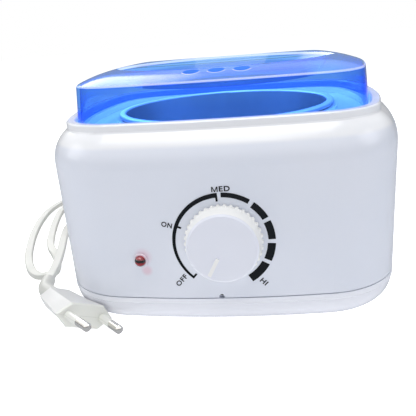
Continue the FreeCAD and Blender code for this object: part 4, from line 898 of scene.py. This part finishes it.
# %% Dress the solids
FINISHES = {
    HOUSING: ("upper_housing", "base_pan", "lamp_bezel"),
    KNOB: ("knob",),
    LID: ("lid",),
    ALUMINIUM: ("wax_pot", "heating_bowl", "heater_plate"),
    LENS: ("lamp_lens",),
    FLEX: ("strain_relief", "cord_tail", "plug_relief", "mains_cord"),
    PLUG: ("plug_body", "plug_sleeves"),
    NICKEL: ("plug_pins", "thermostat_tabs"),
    STEEL: ("base_screws", "bowl_screws", "heater_studs", "heater_nuts", "heat_shield",
            "heater_element", "fuse_clip", "thermostat_nut", "thermostat_washer",
            "clamp_screws", "terminal_screws", "thermostat_shaft"),
    SILICONE: ("bowl_seal",),
    FIBRE: ("insulation_sleeve",),
    CREAM: ("thermal_fuse",),
    DARK: ("thermostat_body", "lamp_body", "terminal_block", "cord_saddle", "cord_clamp"),
    INSULATION: ("cord_cores", "live_wire", "switched_wire", "return_wires", "lamp_wires"),
    RUBBER: ("rubber_feet",),
}


def dress(material, names):
    """Gives the named solids a material in every slot."""
    for name in names:
        for slot in nodes[name].material_slots:
            slot.material = material


for material, names in FINISHES.items():
    dress(material, names)
lead.data.materials.append(FLEX)
dressed = {name for names in FINISHES.values() for name in names}
print("dressed:", len(dressed), "left over:", sorted(set(nodes) - dressed))

# %% [markdown]
# ## Printing on the dial
#
# The print goes on the housing's curved front wall. It could be a painted image or a mask in
# the housing's material, but letters stay crisp only as real shapes. Each mark starts as a flat
# shape in the plane of the dial, made with an operator, and is then laid on the wall. Every
# point is carried straight back until it meets the plastic, and stands a tenth of a millimetre
# proud of it. The scale grows thicker towards HI.

# %% Lay a flat shape on the wall
# The point of the wall that the dial turns round, looked at from well in front of the object.
DIAL = Vector((0.0018, -0.2, 0.0428))
BACKWARDS = Vector((0, 1, 0))
INK_LIFT = 0.0001


def wall_finder():
    """A search tree of the housing's surface."""
    copy = bmesh.new()
    copy.from_mesh(nodes["upper_housing"].data)
    tree = BVHTree.FromBMesh(copy)
    copy.free()
    return tree


WALL = wall_finder()


def lay_on_wall(bm):
    """Moves points given as (x, y) in the dial's plane on to the front wall."""
    for vertex in bm.verts:
        start = DIAL + Vector((vertex.co.x, 0, vertex.co.y))
        hit = WALL.ray_cast(start, BACKWARDS)[0]
        vertex.co = Vector((start.x, hit.y - INK_LIFT, start.z))


beside_knob = WALL.ray_cast(DIAL + Vector((0.02, 0, 0)), BACKWARDS)[0]
print("wall beside the knob at y =", round(beside_knob.y, 4))

# %% The widening scale
OUTER = 0.0225
# Points farther out than this belong to the outer edge of a strip.
OUTER_POINTS = OUTER - 0.0001
DEGREES_PER_STEP = 3


def turned(bm, verts, degrees):
    """Turns points clockwise round the middle of the dial."""
    bmesh.ops.rotate(bm, verts=verts, cent=(0, 0, 0),
                     matrix=Matrix.Rotation(-math.radians(degrees), 3, "Z"))


def even_strip(bm, start, end, thick):
    """A strip of even thickness between two angles, clockwise from straight down."""
    low = bm.verts.new((0, -OUTER, 0))
    high = bm.verts.new((0, -OUTER + thick, 0))
    edge = bm.edges.new((low, high))
    turned(bm, [low, high], start)
    bmesh.ops.spin(bm, geom=[low, high, edge], cent=(0, 0, 0), axis=(0, 0, 1),
                   angle=-math.radians(end - start),
                   steps=max(6, round((end - start) / DEGREES_PER_STEP)))


def taper(bm, start, end, thick_start, thick_end):
    """Thickens the inner edge of the strip from one end to the other."""
    for vertex in bm.verts:
        radius = vertex.co.length
        if radius > OUTER_POINTS:
            continue
        angle = math.degrees(math.atan2(-vertex.co.x, -vertex.co.y)) % 360
        share = (angle - start) / (end - start)
        wanted = OUTER - (thick_start + (thick_end - thick_start) * share)
        vertex.co *= wanted / radius


def printed(name, make):
    """A printed mark: its flat shape laid on the wall, inked and carried by the heater."""
    bm = bmesh.new()
    make(bm)
    lay_on_wall(bm)
    bmesh.ops.recalc_face_normals(bm, faces=bm.faces)
    for face in bm.faces:
        if face.normal.y > 0:
            face.normal_flip()
    mesh = bpy.data.meshes.new(name)
    bm.to_mesh(mesh)
    bm.free()
    mesh.materials.append(INK)
    mark = bpy.data.objects.new(name, mesh)
    scene.collection.objects.link(mark)
    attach(mark, "heater")
    return mark


def scale_strip(start, end, thick_start, thick_end):
    """Maker for one strip."""
    def make(bm):
        even_strip(bm, start, end, thick_start)
        taper(bm, start, end, thick_start, thick_end)
    return make


# Start and end in degrees, thickness at the start and at the end.
STRIPS = [
    (40.0, 176.5, 0.0011, 0.0021), (180.6, 213.4, 0.0021, 0.0021),
    (218.6, 241.2, 0.0029, 0.0029), (245.8, 268.6, 0.0032, 0.0032),
    (273.6, 295.6, 0.0035, 0.0035), (300.2, 328.4, 0.0037, 0.0037),
]
marks = [printed("dial_strip_%d" % index, scale_strip(*strip))
         for index, strip in enumerate(STRIPS)]
print("strips:", len(marks))

# %% Ticks of the scale
TICK_LENGTH, TICK_WIDTH = 0.0019, 0.0009
# Angle in degrees, and how far the tick's foot lies inside the ring's outer edge.
TICKS = [(41.2, 0.0009), (111.3, 0.0013), (175.2, 0.0019)]


def tick(angle, base):
    """A short mark inside the ring, made from a grid and turned to its place."""
    def make(bm):
        bmesh.ops.create_grid(bm, x_segments=2, y_segments=3, size=0.5)
        bmesh.ops.scale(bm, verts=bm.verts, vec=(TICK_WIDTH, TICK_LENGTH, 1))
        bmesh.ops.translate(bm, verts=bm.verts, vec=(0, -OUTER + base + TICK_LENGTH / 2, 0))
        turned(bm, bm.verts, angle)
    return make


for index, row in enumerate(TICKS):
    marks.append(printed("dial_tick_%d" % index, tick(*row)))
print("ticks done, marks:", len(marks))

# %% Letters of the dial
LETTER_HEIGHT = 0.0023
# A font's size is larger than its capitals; the offset fattens the strokes.
SIZE_PER_CAPITAL, FATTER, SPACED = 1.38, 0.034, 1.12
M_SIZE = 0.0029


def flat_word(text):
    """A word of the built-in sans letters as a flat mesh."""
    curve = bpy.data.curves.new("word_" + text, "FONT")
    curve.body = text
    curve.size = LETTER_HEIGHT * SIZE_PER_CAPITAL
    curve.offset = LETTER_HEIGHT * FATTER
    curve.space_character = SPACED
    curve.align_x = "CENTER"
    curve.align_y = "CENTER"
    curve.resolution_u = 4
    holder = bpy.data.objects.new("word_" + text, curve)
    scene.collection.objects.link(holder)
    flat = bpy.data.meshes.new_from_object(holder)
    bpy.data.objects.remove(holder)
    return flat


def wide_m(bm):
    """The wide capital M of the dial, as one outline 2.3 mm high."""
    half = [(0.07, -0.40), (0.33, 0.16), (0.33, -0.40), (0.50, -0.40), (0.50, 0.40),
            (0.29, 0.40), (0.00, -0.22)]
    left = [(-x, y) for x, y in reversed(half[:-1])]
    corners = [bm.verts.new((x * M_SIZE, y * M_SIZE, 0)) for x, y in half + left]
    face = bm.faces.new(corners)
    face.normal_update()
    bmesh.ops.triangulate(bm, faces=[face])


def placed(make_flat, centre, width, turn):
    """Maker for a flat shape drawn out to its width, turned and put in its place."""
    def make(bm):
        make_flat(bm)
        places = [vertex.co.x for vertex in bm.verts]
        bmesh.ops.scale(bm, verts=bm.verts, vec=(width / (max(places) - min(places)), 1, 1))
        turned(bm, bm.verts, -turn)
        bmesh.ops.translate(bm, verts=bm.verts, vec=(*centre, 0))
    return make


print("letters", LETTER_HEIGHT * 1000, "mm high")

# %% Words of the dial
# Text, place in the dial's plane, width, turn in degrees against the clock.
WORDS = [
    ("OFF", (-0.0200, -0.0181), 0.0066, 48.0), ("ON", (-0.0242, 0.0085), 0.0048, -15.0),
    ("ED", (0.0019, 0.0240), 0.0046, 0.0), ("HI", (0.0165, -0.0196), 0.0034, -45.0),
]
M_PLACE = ((-0.0022, 0.0240), 0.0027, 0.0)
for text, *place in WORDS:
    make_word = placed(lambda bm: bm.from_mesh(flat_word(text)), *place)
    marks.append(printed("dial_word_" + text.lower(), make_word))
marks.append(printed("dial_letter_m", placed(wide_m, *M_PLACE)))
print("words:", [row[0] for row in WORDS], "marks in all:", len(marks))

# %% [markdown]
# ## Sizes
#
# The box of the dressed object could be read off by eye in the viewport. Printed instead, its
# numbers show at once whether a piece sticks out by mistake.

# %% Print the sizes and finish
print("visual box:", plain_box())
